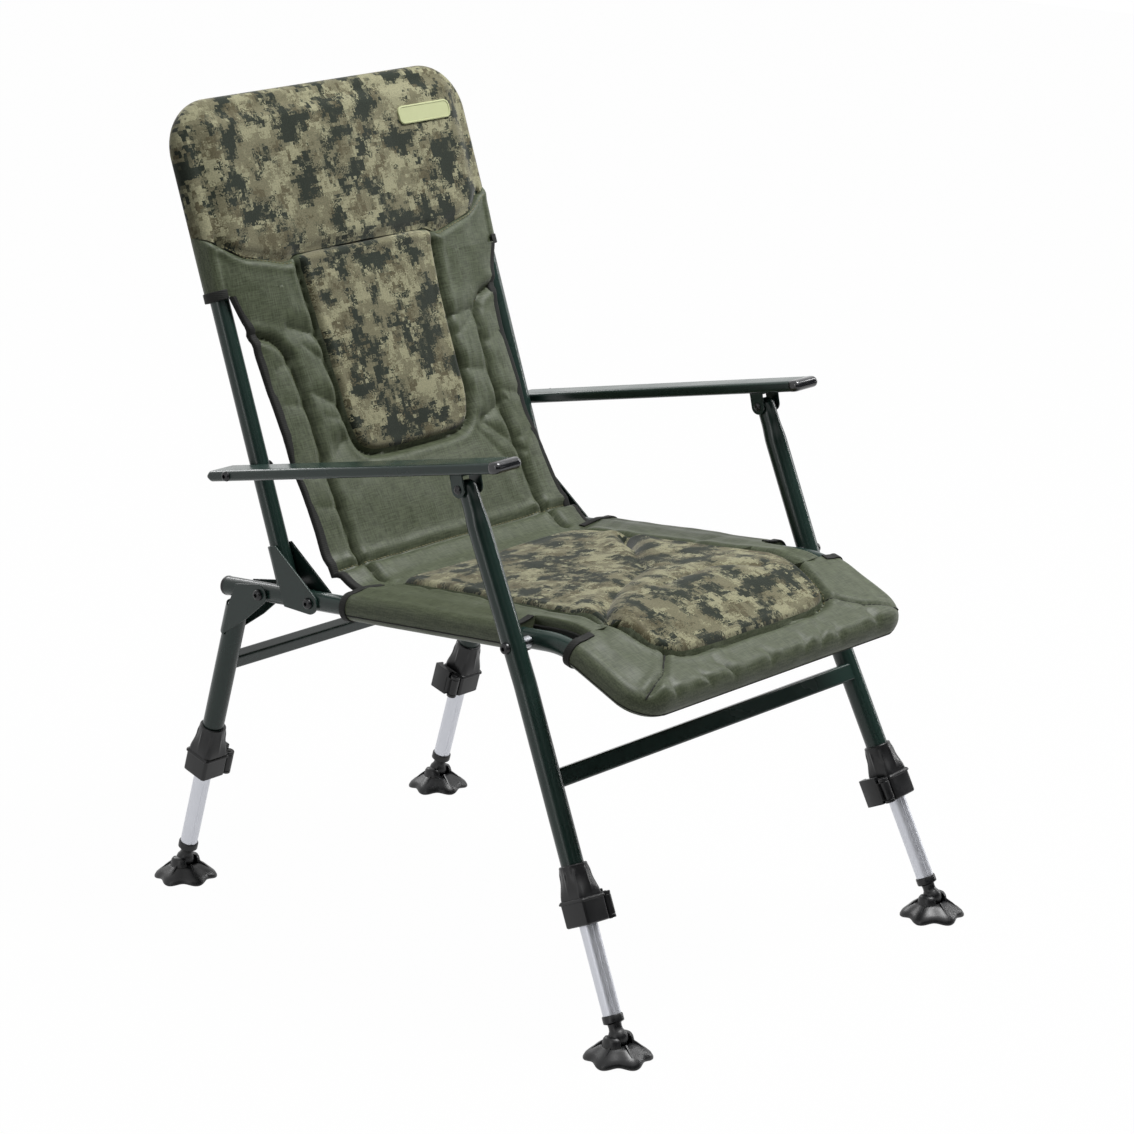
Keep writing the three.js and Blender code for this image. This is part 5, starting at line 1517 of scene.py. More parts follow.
def seat_relief(x, v, cloth):
    """How far the seat's stuffing and seams lift or sink the cloth."""
    panel = outline_distance(x, v, softened(mirrored_outline(SEAT_PANEL)))
    crease, along = line_distance(x, v, SEAT_CREASE)
    soft_crease, _ = line_distance(x, v, SEAT_SOFT_CREASE)
    mitre, mitre_share = line_distance(np.abs(x), v, MITRE)
    seam = cloth.seam_depth / MM
    width = cloth.seam_width / MM
    ends = smooth(np.abs(along - 0.5), *CREASE_END_SHARES)
    inside = panel < 0
    border = BORDER_PUFF * puff(panel, BORDER_SWELL) * (1 - smooth(np.abs(x), *BORDER_FADE))
    relief = np.where(inside, cloth.panel_crown / MM * puff(-panel, PANEL_SWELL), border)
    relief += sewn(panel, seam, width)
    relief += inside * sewn(crease, CREASE_MIDDLE + CREASE_DEPTH * ends, width * 2)
    relief += inside * sewn(soft_crease, SOFT_CREASE_DEPTH, width * 2)
    relief += sewn(mitre, MITRE_DEPTH, width * 0.8) * (1 - smooth(mitre_share, *MITRE_END_SHARES))
    relief += np.where(inside, 0, folds(x, v, SEAT_FOLDS))
    for i, place in enumerate(FRONT_PUCKERS):
        start = SEAT_FRONT - PUCKER_START + PUCKER_SPREAD * math.sin(i * 2.3)
        sway = PUCKER_SWAY * np.sin(v / PUCKER_PITCH + i)
        pucker = sewn(x - place - sway, PUCKER_DEPTH, PUCKER_WIDTH)
        relief += smooth(v, start, SEAT_FRONT + PUCKER_END) * pucker
    return relief + waves(x, v, SEAT_WAVES)


def seat_height(x, v, cloth, roll, face, lift=0.0):
    """How far the cover's upper or lower face stands off the plane of the tubes."""
    gap = tube_gap(x, v, SEAT_FRONT, SEAT_COVER_CORNER)
    inward = smooth(-gap, 0, SEAT_SHOULDER)
    if face > 0:
        rest = lerp(SEAT_REAR_TOP, SEAT_REST_TOP, smooth(v, SEAT_REAR, SEAT_REAR + SEAT_RISE_RUN))
        relief = seat_relief(x, v, cloth) + lift
    else:
        rest = SEAT_UNDER
        relief = waves(x, v, UNDER_WAVES) * inward + lift
    flat = lerp(roll, rest, inward) + relief
    share = np.clip(gap / roll, 0, 1)
    rise = np.sqrt(np.maximum(1 - share ** 2, 0))
    return np.where(gap > 0, rise * (roll + relief * rise), flat)


def seat_columns(half, roll, inner=164, rim=12):
    angles = np.linspace(math.pi / 2, 0, rim, endpoint=False)
    right = half - roll + roll * np.sin(angles)
    middle = np.linspace(half - roll, roll - half, inner)
    return np.concatenate([right, middle, -right[::-1]])


def closed_grid(top, bottom):
    """A solid from two faces with the same rows; the faces meet along their sides and ends."""
    rows, columns, _ = top.shape
    ring = np.concatenate([top, bottom[:, ::-1][:, 1:-1]], axis=1)
    count = ring.shape[1]
    faces = []
    for r in range(rows - 1):
        for i in range(count):
            j = (i + 1) % count
            faces.append((r * count + i, r * count + j, (r + 1) * count + j, (r + 1) * count + i))
    for r in (0, rows - 1):
        for i in range(columns - 1):
            low = [i, i + 1]
            far = [(count - k) % count for k in (i + 1, i)]
            corners = []
            for k in low + far:
                if k not in corners:
                    corners.append(k)
            faces.append(tuple(r * count + k for k in corners))
    return ring.reshape(-1, 3), faces


def flat_grid(x, v, top_fold, bottom_fold):
    """Places on the flat cloth for the points of a closed grid; the third number counts round the rims."""
    top = np.stack([x, v, top_fold], axis=-1)
    bottom = np.stack([x, v, bottom_fold], axis=-1)
    ring = np.concatenate([top, bottom[:, ::-1][:, 1:-1]], axis=1)
    return ring.reshape(-1, 3)


def closed_cloth(tops, bottoms, flats):
    """The solid between two faces given row by row, and its places on the flat cloth."""
    shape = closed_grid(np.array(tops), np.array(bottoms))
    return shape, flat_grid(*(np.array(rows) for rows in zip(*flats)))


def rim_rows(start, reach, count=10):
    return [start + reach * math.sin(math.pi / 2 * (i + 1) / (count + 0.35)) for i in range(count)]


def seat_rows(roll):
    plain = list(np.arange(SEAT_REAR, SEAT_FRONT - 1, 2.7))
    edges = [SLOT[0] - 0.01, SLOT[0], SLOT[1], SLOT[1] + 0.01]
    return np.array(sorted(plain + edges + [SEAT_FRONT]) + rim_rows(SEAT_FRONT, roll))


def seat_cover_shape(cloth, roll):
    tops = []
    bottoms = []
    flats = []
    for v in seat_rows(roll):
        half = float(sleeve_half_width(v, SEAT_FRONT, SEAT_COVER_CORNER, roll))
        x = seat_columns(half, roll)
        rise = np.ones_like(x)
        if SLOT[0] <= v <= SLOT[1]:
            x = x * SLOT_HALF_WIDTH / half
            share = np.clip((np.abs(x) - SLOT_HALF_WIDTH + SLOT_RIM) / SLOT_RIM, 0, 1)
            rise = np.sqrt(1 - share ** 2)
        along = np.full_like(x, v)
        places = []
        for face, rows in ((1, tops), (-1, bottoms)):
            height = seat_height(x, along, cloth, roll, face) * rise
            height[[0, -1]] = 0
            rows.append(seat_position(x, along, face * height))
            places.append(np.minimum(height - roll, 0) if face > 0 else -height - roll)
        flats.append((x, along, *places))
    return closed_cloth(tops, bottoms, flats)


def seat_surface(x, v, cloth, roll, lift):
    return seat_position(x, v, seat_height(x, v, cloth, roll, 1, lift))


def even_outline(outline, spacing):
    """The same closed outline with points an even distance apart."""
    closed = np.vstack([outline, outline[:1]])
    run = run_along(closed)
    stops = np.linspace(0, run[-1], int(run[-1] / spacing), endpoint=False)
    return np.stack([np.interp(stops, run, closed[:, 0]), np.interp(stops, run, closed[:, 1])], axis=1)


def patch_faces(count, rings):
    """Faces of a panel: rings of points above, the same below, and one point in each middle."""
    under = rings * count
    peak = 2 * under
    faces = []
    for i in range(count):
        j = (i + 1) % count
        faces.append((peak, i, j))
        faces.append((peak + 1, under + j, under + i))
        for r in range(rings - 1):
            a = r * count
            faces.append((a + i, a + count + i, a + count + j, a + j))
            faces.append((under + a + i, under + a + j, under + a + count + j, under + a + count + i))
        last = (rings - 1) * count
        faces.append((last + i, under + last + i, under + last + j, last + j))
    return faces


def patch_shape(outline, centre, surface, lift=1.0, depth=4.0, rings=72, skin=3.0):
    """A cloth panel inside an outline: its face stands on the surface and its edge dives into the seam."""
    outline = even_outline(softened(mirrored_outline(outline), 2), 3.4)
    step = np.linspace(0, 1, rings) ** 0.85
    centre = np.array(centre, float)
    grid = centre + (outline[None] - centre) * step[:, None, None]
    x = grid[..., 0]
    v = grid[..., 1]
    gap = -outline_distance(x, v, outline)
    gap[-1] = 0
    raised = lift - depth * bell(gap, 4.0)
    top = surface(x, v, raised)
    bottom = surface(x, v, raised - skin)
    count = x.shape[1]
    points = np.concatenate([top[1:].reshape(-1, 3), bottom[1:].reshape(-1, 3), top[:1, 0], bottom[:1, 0]])
    flat = np.stack([x, v, np.zeros_like(x)], axis=-1)
    flat = np.concatenate([flat[1:].reshape(-1, 3), flat[1:].reshape(-1, 3), flat[:1, 0], flat[:1, 0]])
    return (points, patch_faces(count, rings - 1)), flat


def cloth_piece(name, made, place, body, kind, replaces=()):
    shape, flat = made
    return piece(name, shape, place, body, kind, replaces, flat=flat)


def tape_shape(path, across, width, thickness):
    """A flat band along a path; its width lies along the given direction."""
    section = rounded_box(width, thickness, thickness * 0.45, steps=4)
    return sweep([Vector(p) for p in path], section, side=Vector(across))


def band_flat(shape):
    """Flat places for the points of a band or cuff, close enough for a plain weave."""
    return np.array([(p[0], p[1] + p[2], 0) for p in shape[0]])


def sleeve_loop(cloth, roll, v, start, grow=0.6, count=40):
    """A line round the outside of the right-hand sleeve, from above to below."""
    angles = np.linspace(0, math.pi, count)
    out = np.linspace(start, HALF_WIDTH, 8, endpoint=False)
    back = np.linspace(HALF_WIDTH, start, 8)[1:]
    above = seat_height(out, np.full_like(out, v), cloth, roll, 1) + grow
    below = seat_height(back, np.full_like(back, v), cloth, roll, -1) + grow
    x = np.concatenate([out, HALF_WIDTH + (roll + grow) * np.sin(angles), back])
    height = np.concatenate([above, (roll + grow) * np.cos(angles), -below])
    return seat_position(x, np.full_like(x, v), height)


SLEEVE_SEAM_ANGLE = math.radians(24)
SLEEVE_SEAM_RADIUS = 0.9
SEAM_CORD_LIFT = 1.5


def sleeve_seam_shapes(roll):
    """The joining seam under the outside of the sleeve, on its right-hand side and across half the front."""
    out = roll * math.cos(SLEEVE_SEAM_ANGLE)
    low = -roll * math.sin(SLEEVE_SEAM_ANGLE)
    shapes = []
    for v in (np.arange(SEAT_REAR, SLOT[0], 6.0), np.arange(SLOT[1], SEAT_FRONT + out, 3.0)):
        x = sleeve_half_width(v, SEAT_FRONT, SEAT_COVER_CORNER, out)
        if v[-1] > SLOT[1]:
            x = np.append(x, np.linspace(x[-1], 0, 60)[1:])
            v = np.append(v, np.full(59, SEAT_FRONT + out))
        path = [Vector(p) for p in seat_position(x, v, np.full_like(x, low))]
        shapes.append(sweep(path, circle(SLEEVE_SEAM_RADIUS, count=8), side=Vector((0, 0, 1))))
    return shapes


SEAT_REAR_HALF_WIDTH = 168
SEAT_TAPE_WIDTH = 9
SEAT_TAPE_THICKNESS = 2.2
SLOT_TAPE_WIDTH = 17
SLOT_TAPE_THICKNESS = 5
SLOT_TAPE_INSET = 1.5
SLOT_TAPE_LIFT = 1.5
STITCH_PROFILE = ((0.01, -0.5), (0.7, -0.42), (1, -0.25), (1, 0.25), (0.7, 0.42), (0.01, 0.5))
SEAT_STITCH_SHARE = 1.012


def mitre_seam_shape(cloth, roll):
    """The cord along the seam across one front corner."""
    x, v = np.array(MITRE, float).T
    share = np.linspace(0, 1, 40)
    x = np.interp(share, (0, 0.5, 1), x)
    v = np.interp(share, (0, 0.5, 1), v)
    path = [Vector(p) for p in seat_surface(x, v, cloth, roll, SEAM_CORD_LIFT)]
    return sweep(path, circle(SLEEVE_SEAM_RADIUS, count=8), side=Vector((0, 0, 1)))


def both_halves(shapes):
    """The right-hand shapes and their mirror images, as one shape."""
    right = combined(*[(list(map(tuple, points)), faces) for points, faces in shapes])
    return combined(right, mirrored(right))


def seat_tape_shape(cloth, roll):
    """Binding at the rear ends of the sleeve, and round the openings for the front legs."""
    bands = []
    inset = SEAT_TAPE_WIDTH / 2 - 1
    loops = (
        (SEAT_REAR + inset, SEAT_REAR_HALF_WIDTH),
        (SLOT[0] - inset, SLOT_HALF_WIDTH),
        (SLOT[1] + inset, SLOT_HALF_WIDTH),
    )
    for v, start in loops:
        path = sleeve_loop(cloth, roll, v, start)
        before, after = seat_position(np.zeros(2), np.array([v - 1.0, v + 1.0]), 0)
        bands.append(tape_shape(path, after - before, SEAT_TAPE_WIDTH, SEAT_TAPE_THICKNESS))
    v = np.linspace(SLOT[0] - 2, SLOT[1] + 2, 26)
    x = np.full_like(v, SLOT_HALF_WIDTH - SLOT_TAPE_INSET)
    path = seat_position(x, v, np.full_like(v, SLOT_TAPE_LIFT))
    bands.append(tape_shape(path, (0, 0, 1), SLOT_TAPE_WIDTH, SLOT_TAPE_THICKNESS))
    bands += sleeve_seam_shapes(roll)
    bands.append(mitre_seam_shape(cloth, roll))
    return both_halves(bands)


def stitch_shape(lines, surface, stitch, pitch=5.2, thread=0.55, lift=0.5):
    """Short rounded stitches along lines on a cloth surface."""
    shapes = []
    capsule = [(r * thread, h * stitch) for r, h in STITCH_PROFILE]
    for line in lines:
        line = np.array(line, float)
        run = run_along(line)
        for start in np.arange(pitch / 2, run[-1], pitch):
            ends = []
            for at in (start - 1, start + 1):
                x = np.array([np.interp(at, run, line[:, 0])])
                v = np.array([np.interp(at, run, line[:, 1])])
                ends.append(Vector(surface(x, v, lift)[0]))
            direction = (ends[1] - ends[0]).normalized()
            turn = Vector((0, 0, 1)).rotation_difference(direction).to_matrix().to_4x4()
            place = Matrix.Translation((ends[0] + ends[1]) / 2) @ turn
            shapes.append(moved(lathe(capsule, count=8), place))
    return combined(*shapes)


def both_sides(line):
    return [line, [(-x, v) for x, v in line]]


def make_seat_cover(tubes, cloth):
    roll = tubes.rail / MM / 2 + cloth.sleeve / MM

    def surface(x, v, lift):
        return seat_surface(x, v, cloth, roll, lift)

    cover = seat_cover_shape(cloth, roll)
    made = cloth_piece("seat_cover", cover, SEAT_PLACE, "seat", "nylon", ("seat_pad",))
    panel = patch_shape(SEAT_PANEL, SEAT_PANEL_MIDDLE, surface)
    made = cloth_piece("seat_fleece", panel, SEAT_PLACE, "seat", "fleece")
    tape = seat_tape_shape(cloth, roll)
    cloth_piece("seat_tape", (tape, band_flat(tape)), SEAT_PLACE, "seat", "tape")
    outline = softened(mirrored_outline([(x * SEAT_STITCH_SHARE, v) for x, v in SEAT_PANEL]), 2)
    lines = [np.vstack([outline, outline[:1]])]
    stitches = stitch_shape(lines, surface, cloth.stitch / MM)
    piece("seat_stitches", stitches, SEAT_PLACE, "seat", "thread")


# Back cover: the front of the cloth follows one line, from the seat's rear edge to the headrest
def turned(point, angle):
    y, z = point
    return (y * math.cos(angle) - z * math.sin(angle), y * math.sin(angle) + z * math.cos(angle))


def back_depth(v):
    """How far the front of the cloth lies ahead of the back tube's axis."""
    return lerp(BACK_FOOT_DEPTH, BACK_SHOULDER_DEPTH, smooth(v, LUMBAR_TOP, BACK_SLEEVE_START - 5))


def curve_point(before, start, end, after, t):
    """A point on the smooth curve from start to end."""
    return 0.5 * (
        2 * start
        + (end - before) * t
        + (2 * before - 5 * start + 4 * end - after) * t ** 2
        + (3 * start - before - 3 * end + after) * t ** 3
    )


def back_line():
    """Points along the cloth's front, from the hinge, with the length of cloth up to each."""
    line = [turned((-ahead, up), -RAIL_PITCH) for ahead, up in SEAT_SEAM_LINE]
    line += [turned(point, -BACK_LEAN) for point in LUMBAR_LINE]
    for v in range(180, 480, 30):
        line.append(turned((BACK_TUBE_OFFSET - float(back_depth(v)), v), -BACK_LEAN))
    control = np.array(line)
    dense = []
    for i in range(len(control) - 1):
        around = [control[min(max(k, 0), len(control) - 1)] for k in range(i - 1, i + 3)]
        for t in np.linspace(0, 1, LINE_STEPS, endpoint=False):
            dense.append(curve_point(*around, t))
    dense.append(control[-1])
    dense = np.array(dense)
    run = run_along(dense)
    top = np.argmin(np.hypot(*(dense - control[len(SEAT_SEAM_LINE) + len(LUMBAR_LINE) - 1]).T))
    return dense, run - run[top] + LUMBAR_TOP


def line_normals(line):
    """The direction off the front of the cloth at each point of its line."""
    normals = np.gradient(line, axis=0)[:, ::-1] * np.array([-1, 1])
    return normals / np.hypot(*normals.T)[:, None]


BACK_LINE, BACK_RUN = back_line()
CLOTH_START = float(BACK_RUN[0])
SEAT_SEAM = float(BACK_RUN[LINE_STEPS * (len(SEAT_SEAM_LINE) - 1)])
BACK_NORMAL = line_normals(BACK_LINE)


def back_position(x, v, height):
    """From the flat cloth to the chair, from the hinge, at a height ahead of the cloth's line."""
    y = np.interp(v, BACK_RUN, BACK_LINE[:, 0]) + np.interp(v, BACK_RUN, BACK_NORMAL[:, 0]) * height
    z = np.interp(v, BACK_RUN, BACK_LINE[:, 1]) + np.interp(v, BACK_RUN, BACK_NORMAL[:, 1]) * height
    return np.stack([x, y, z], axis=-1)


def table_at(table, value):
    keys, values = zip(*table)
    return np.interp(value, keys, values)


def eased_table(table, value, spread):
    """The table's value with its corners rounded off."""
    return sum(table_at(table, value + step) for step in (-spread, -spread / 2, 0, spread / 2, spread)) / 5


def head_seam_at(x):
    return eased_table(HEAD_SEAM, np.abs(x), 5)


def back_edge_at(v):
    return eased_table(BACK_EDGE, v, 6)


BACK_PUFF = 6.0
BACK_DROP_MIDDLE = 268
BACK_DROP_SPREAD = 88
BACK_DROP_SPAN = (95, 188)
CHANNEL_SHARE = 0.8
SEAT_SEAM_SHARE = 0.9
REAR_RELIEF_SHARE = 0.35
REAR_RELIEF_RUN = 14
BACK_EDGE_RUN = 30
BACK_SHOULDER_START = 151


def back_relief(x, v, cloth):
    """How far the back's stuffing and seams lift or sink the cloth."""
    side = np.abs(x)
    panel = outline_distance(x, v, softened(mirrored_outline(BACK_PANEL)))
    channel, _ = line_distance(side, v, BACK_CHANNEL)
    edge = np.abs(back_edge_at(v) - side)
    head = np.abs(v - head_seam_at(x))
    seat = np.abs(v - SEAT_SEAM)
    width = cloth.seam_width / MM
    seam = cloth.seam_depth / MM
    inside = panel < 0
    nearest = np.minimum(np.minimum(channel, edge), np.minimum(np.abs(panel), np.minimum(head, seat)))
    drop = EDGE_DROP * bell(v - BACK_DROP_MIDDLE, BACK_DROP_SPREAD) * smooth(side, *BACK_DROP_SPAN)
    crown = (cloth.panel_crown / MM - BACK_PUFF) * puff(-panel, PANEL_SWELL)
    relief = BACK_PUFF * puff(nearest, PANEL_SWELL) - drop + np.where(inside, crown, 0)
    relief += sewn(panel, seam, width)
    relief += sewn(channel, CHANNEL_SHARE * seam, width)
    relief += sewn(head, seam, width)
    relief += sewn(seat, SEAT_SEAM_SHARE * seam, width)
    relief += np.where(inside, 0, folds(x, v, BACK_FOLDS))
    return relief + waves(x, v, BACK_WAVES)


def back_sleeve_heights(x, v, cloth, roll):
    """Front and rear of the cover where it wraps the tubes, from the cloth's line."""
    side = np.abs(x)
    inward = 1 - smooth(side, BACK_SHOULDER_START, HALF_WIDTH)
    share = np.clip((side - HALF_WIDTH) / roll, 0, 1)
    rise = np.sqrt(np.maximum(1 - share ** 2, 0))
    plain = back_depth(v)
    relief = back_relief(x, v, cloth)
    front = lerp(roll, plain, inward) * rise + relief * rise
    behind = lerp(roll, BACK_BEHIND, inward) * rise
    return front - plain, -behind - plain


def back_panel_heights(x, v, half, cloth):
    relief = back_relief(x, v, cloth)
    inset = half - np.abs(x)
    share = np.clip(1 - inset / (BOUND_THICKNESS / 2), 0, 1)
    full = lerp(BOUND_THICKNESS, BACK_THICKNESS, smooth(inset, 0, BACK_EDGE_RUN))
    thickness = full * np.sqrt(1 - share ** 2)
    rear_relief = relief * lerp(1, REAR_RELIEF_SHARE, smooth(inset, 0, REAR_RELIEF_RUN))
    return relief - full / 2 + thickness / 2, rear_relief - full / 2 - thickness / 2


def back_cover_shape(cloth, roll):
    tops = []
    bottoms = []
    flats = []
    rows = np.arange(CLOTH_START, BACK_SLEEVE_START - 1, 2.7)
    for v in np.append(rows, BACK_SLEEVE_START - 0.01):
        half = float(back_edge_at(v))
        x = seat_columns(half, 8)
        along = np.full_like(x, v)
        front, behind = back_panel_heights(x, along, half, cloth)
        front[[0, -1]] = behind[[0, -1]] = (front[[0, -1]] + behind[[0, -1]]) / 2
        tops.append(back_position(x, along, front))
        bottoms.append(back_position(x, along, behind))
        flats.append((x, along, np.zeros_like(x), np.full_like(x, -roll)))
    x = seat_columns(HALF_WIDTH + roll, roll)
    for share in np.linspace(0, 1, 20):
        along = lerp(BACK_SLEEVE_START, head_seam_at(x), share)
        front, behind = back_sleeve_heights(x, along, cloth, roll)
        front[[0, -1]] = behind[[0, -1]] = (front[[0, -1]] + behind[[0, -1]]) / 2
        tops.append(back_position(x, along, front))
        bottoms.append(back_position(x, along, behind))
        depth = back_depth(along)
        flats.append((x, along, np.minimum(front + depth - roll, 0), behind + depth - roll))
    return closed_cloth(tops, bottoms, flats)


def back_surface(x, v, cloth, lift):
    return back_position(x, v, back_relief(x, v, cloth) + lift)


BINDING_START = 14
BINDING_STEP = 5.0
BINDING_OVERHANG = 1.2
BINDING_INSET = 3
BINDING_SINK = 0.6
BINDING_GROWTH = 3.2
BINDING_ROUND = 2.6
CUFF_STEPS = 48
CUFF_REACH = 33
CUFF_OVERLAP = 2
CUFF_LIFT = 0.7
CUFF_THICKNESS = 2.0


def edge_binding_shape(cloth, width):
    """Binding down the right-hand edge, following the relief of the cloth beside it."""
    rows = np.arange(CLOTH_START + BINDING_START, BACK_SLEEVE_START - 2, BINDING_STEP)
    rows = np.append(rows, BACK_SLEEVE_START - 1)
    half = back_edge_at(rows)
    middles = half - width / 2 + BINDING_OVERHANG
    levels = back_relief(half - BINDING_INSET, rows, cloth) - BOUND_THICKNESS / 2 - BINDING_SINK
    section = rounded_box(width, BOUND_THICKNESS + BINDING_GROWTH, BINDING_ROUND, steps=4)
    across, out = np.array(section).T
    rings = []
    for middle, v, level in zip(middles, rows, levels):
        places = back_position(middle + across, np.full_like(across, v), level + out)
        rings.append([tuple(place) for place in places])
    return loft(rings)


def cuff_shape(roll, width):
    """Binding round the lower end of the right-hand sleeve, as far as the cloth goes."""
    angles = np.linspace(0, 2 * math.pi, CUFF_STEPS + 1)
    rows = np.full_like(angles, BACK_SLEEVE_START + width / 2 - CUFF_OVERLAP)
    reach = roll + CUFF_LIFT
    across = HALF_WIDTH + reach * np.sin(angles)
    path = back_position(across, rows, reach * np.cos(angles) - back_depth(rows))
    low, high = back_position(np.zeros(2), np.array([400.0, 401.0]), 0)
    return tape_shape(path[:CUFF_REACH], high - low, width, CUFF_THICKNESS)


def back_tape_shape(cloth, roll):
    """Binding down both edges of the back and round the lower ends of its sleeve."""
    width = cloth.tape_width / MM
    return both_halves([edge_binding_shape(cloth, width), cuff_shape(roll, width)])


HINGE_PLACE = Matrix.Translation(HINGE)


def bend_with_back(made):
    """Bakes the cloth's place into its mesh."""
    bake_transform(made)


CHANNEL_STITCH_START = 20
SEAM_STITCH_RISE = 1.5
SEAM_STITCH_REACH = 190
SHOULDER_STITCH_DROP = 4
SHOULDER_STITCH_SPAN = (118, 214)


def make_back_cover(tubes, cloth):
    roll = tubes.rail / MM / 2 + cloth.sleeve / MM

    def surface(x, v, lift):
        return back_surface(x, v, cloth, lift)

    cover = back_cover_shape(cloth, roll)
    solids = ("back_pad", "lumbar_flap")
    made = cloth_piece("back_cover", cover, HINGE_PLACE, None, "nylon", solids)
    bend_with_back(made)
    panel = patch_shape(BACK_PANEL, BACK_PANEL_MIDDLE, surface)
    made = cloth_piece("back_fleece", panel, HINGE_PLACE, None, "fleece")
    bend_with_back(made)
    tape = back_tape_shape(cloth, roll)
    made = cloth_piece("back_tape", (tape, band_flat(tape)), HINGE_PLACE, None, "tape")
    bend_with_back(made)
    channel = [(x, v) for x, v in BACK_CHANNEL if v > CHANNEL_STITCH_START]
    reach = np.linspace(-SEAM_STITCH_REACH, SEAM_STITCH_REACH, 40)
    seam = [(x, SEAT_SEAM + SEAM_STITCH_RISE) for x in reach]
    shoulder = []
    for x in np.linspace(*SHOULDER_STITCH_SPAN, 30):
        shoulder.append((float(x), float(head_seam_at(x)) - SHOULDER_STITCH_DROP))
    lines = both_sides(channel) + [seam] + both_sides(shoulder)
    stitches = stitch_shape(lines, surface, cloth.stitch / MM)
    made = piece("back_stitches", stitches, HINGE_PLACE, None, "thread")
    bend_with_back(made)


# Headrest
def head_front(x, v, roll):
    gap = tube_gap(x, v, BACK_TUBE_TOP, HEAD_COVER_CORNER)
    share = np.clip(gap / roll, 0, 1)
    edge = roll * np.sqrt(np.maximum(1 - share ** 2, 0))
    side = np.abs(x)
    badge_reach = BADGE_PLACE[0] + BADGE_SIZE[0] / 2
    across = 1 - smooth(side, badge_reach, HALF_WIDTH)
    level = HEAD_CROWN * across * (1 - smooth(v, BADGE_PLACE[1] + BADGE_SIZE[1], BACK_TUBE_TOP))
    middle = 1 - smooth(side, 0, BADGE_PLACE[0] - BADGE_SIZE[0] / 2)
    belly = HEAD_BELLY * middle * (1 - smooth(v, BADGE_PLACE[1] - BADGE_SIZE[1], BACK_TUBE_TOP))
    inner = smooth(-gap, 0, HEAD_RIM)
    near_badge = 1
    for places, middle, half, fade in zip((x, v), BADGE_PLACE, BADGE_FLAT, BADGE_FADE):
        near_badge = near_badge * bell(np.maximum(np.abs(places - middle) - half, 0), fade)
    uneven = waves(x, v, HEAD_WAVES) * inner * (1 - near_badge)
    groove = HEAD_GROOVE * bell(v - head_seam_at(x), HEAD_GROOVE_WIDTH) * (gap < 0)
    return edge + np.where(gap < 0, level + belly + uneven - groove, 0)


def head_position(x, v, depth):
    """From the flat cloth to the back's frame, at a depth ahead of the tube's axis."""
    return np.stack([x, BACK_TUBE_OFFSET - depth, v], axis=-1)


def head_shape(roll):
    tops = []
    bottoms = []
    flats = []
    corner_up = BACK_TUBE_TOP - HEAD_COVER_CORNER
    straight = seat_columns(HALF_WIDTH + roll, roll)
    foot = head_seam_at(straight) - HEAD_TUCK
    rows = [(straight, lerp(foot, corner_up, share)) for share in np.linspace(0, 1, 34)]
    above = list(np.linspace(corner_up, BACK_TUBE_TOP, 24)[1:]) + rim_rows(BACK_TUBE_TOP, roll, 12)
    for v in above:
        half = float(sleeve_half_width(v, BACK_TUBE_TOP, HEAD_COVER_CORNER, roll))
        x = seat_columns(half, roll)
        rows.append((x, np.full_like(x, v)))
    for x, v in rows:
        front = head_front(x, v, roll)
        gap = tube_gap(x, v, BACK_TUBE_TOP, HEAD_COVER_CORNER)
        behind = roll * np.sqrt(np.maximum(1 - np.clip(gap / roll, 0, 1) ** 2, 0))
        front[[0, -1]] = 0
        behind[[0, -1]] = 0
        tops.append(head_position(x, v, front))
        bottoms.append(head_position(x, v, -behind))
        flats.append((x, v, np.minimum(front - roll, 0), -behind - roll))
    return closed_cloth(tops, bottoms, flats)


def badge_shape(roll):
    """A soft rubber tag with a raised rim, sewn level on the headrest."""
    width, height = BADGE_SIZE
    rings = []
    middle, level = BADGE_PLACE
    for inset, rise in BADGE_STEPS:
        outline = rounded_box(width - 2 * inset, height - 2 * inset, BADGE_ROUND - inset, steps=8)
        face = BACK_TUBE_OFFSET - roll - HEAD_CROWN - rise
        rings.append([(middle + x, face, level + z) for x, z in outline])
    return loft(rings)


def make_headrest():
    head = head_shape(HEAD_ROLL)
    made = cloth_piece("head_cover", head, BACK_PLACE, "back", "fleece", ("head_pad",))
    badge = badge_shape(HEAD_ROLL)
    piece("badge_tag", badge, BACK_PLACE, "back", "badge", ("head_badge",))


# Stage
CAMERA_PLACE = (-2.9978, -2.7441, 1.5801)
CAMERA_TURN = (73.92, 0.0, -48.03)
CAMERA_LENS = 117.99
FLOOR_SIZE = 14.0
FLOOR_DROP = 0.0005
SHADOW_SHARE = 0.012
SKY = 0.17
PAPER = (0.5, 0.5, 0.5)
WHITE = (1, 1, 1)
CARD_BLACK = (0.02, 0.02, 0.02)
LAMP_TARGET = (0, 0, 0.45)
SENSOR_WIDTH = 36
CARD_FOOT = 0.05


def seen_rays(tree):
    """One for what the camera sees, straight or in gloss, and nothing for scattered light."""
    rays = add_node(tree, "ShaderNodeLightPath")
    seen = rays.outputs["Is Camera Ray"]
    for kind in ("Is Glossy Ray", "Is Transmission Ray"):
        either = add_node(tree, "ShaderNodeMath", {0: seen, 1: rays.outputs[kind]}, operation="MAXIMUM")
        seen = either.outputs["Value"]
    return seen


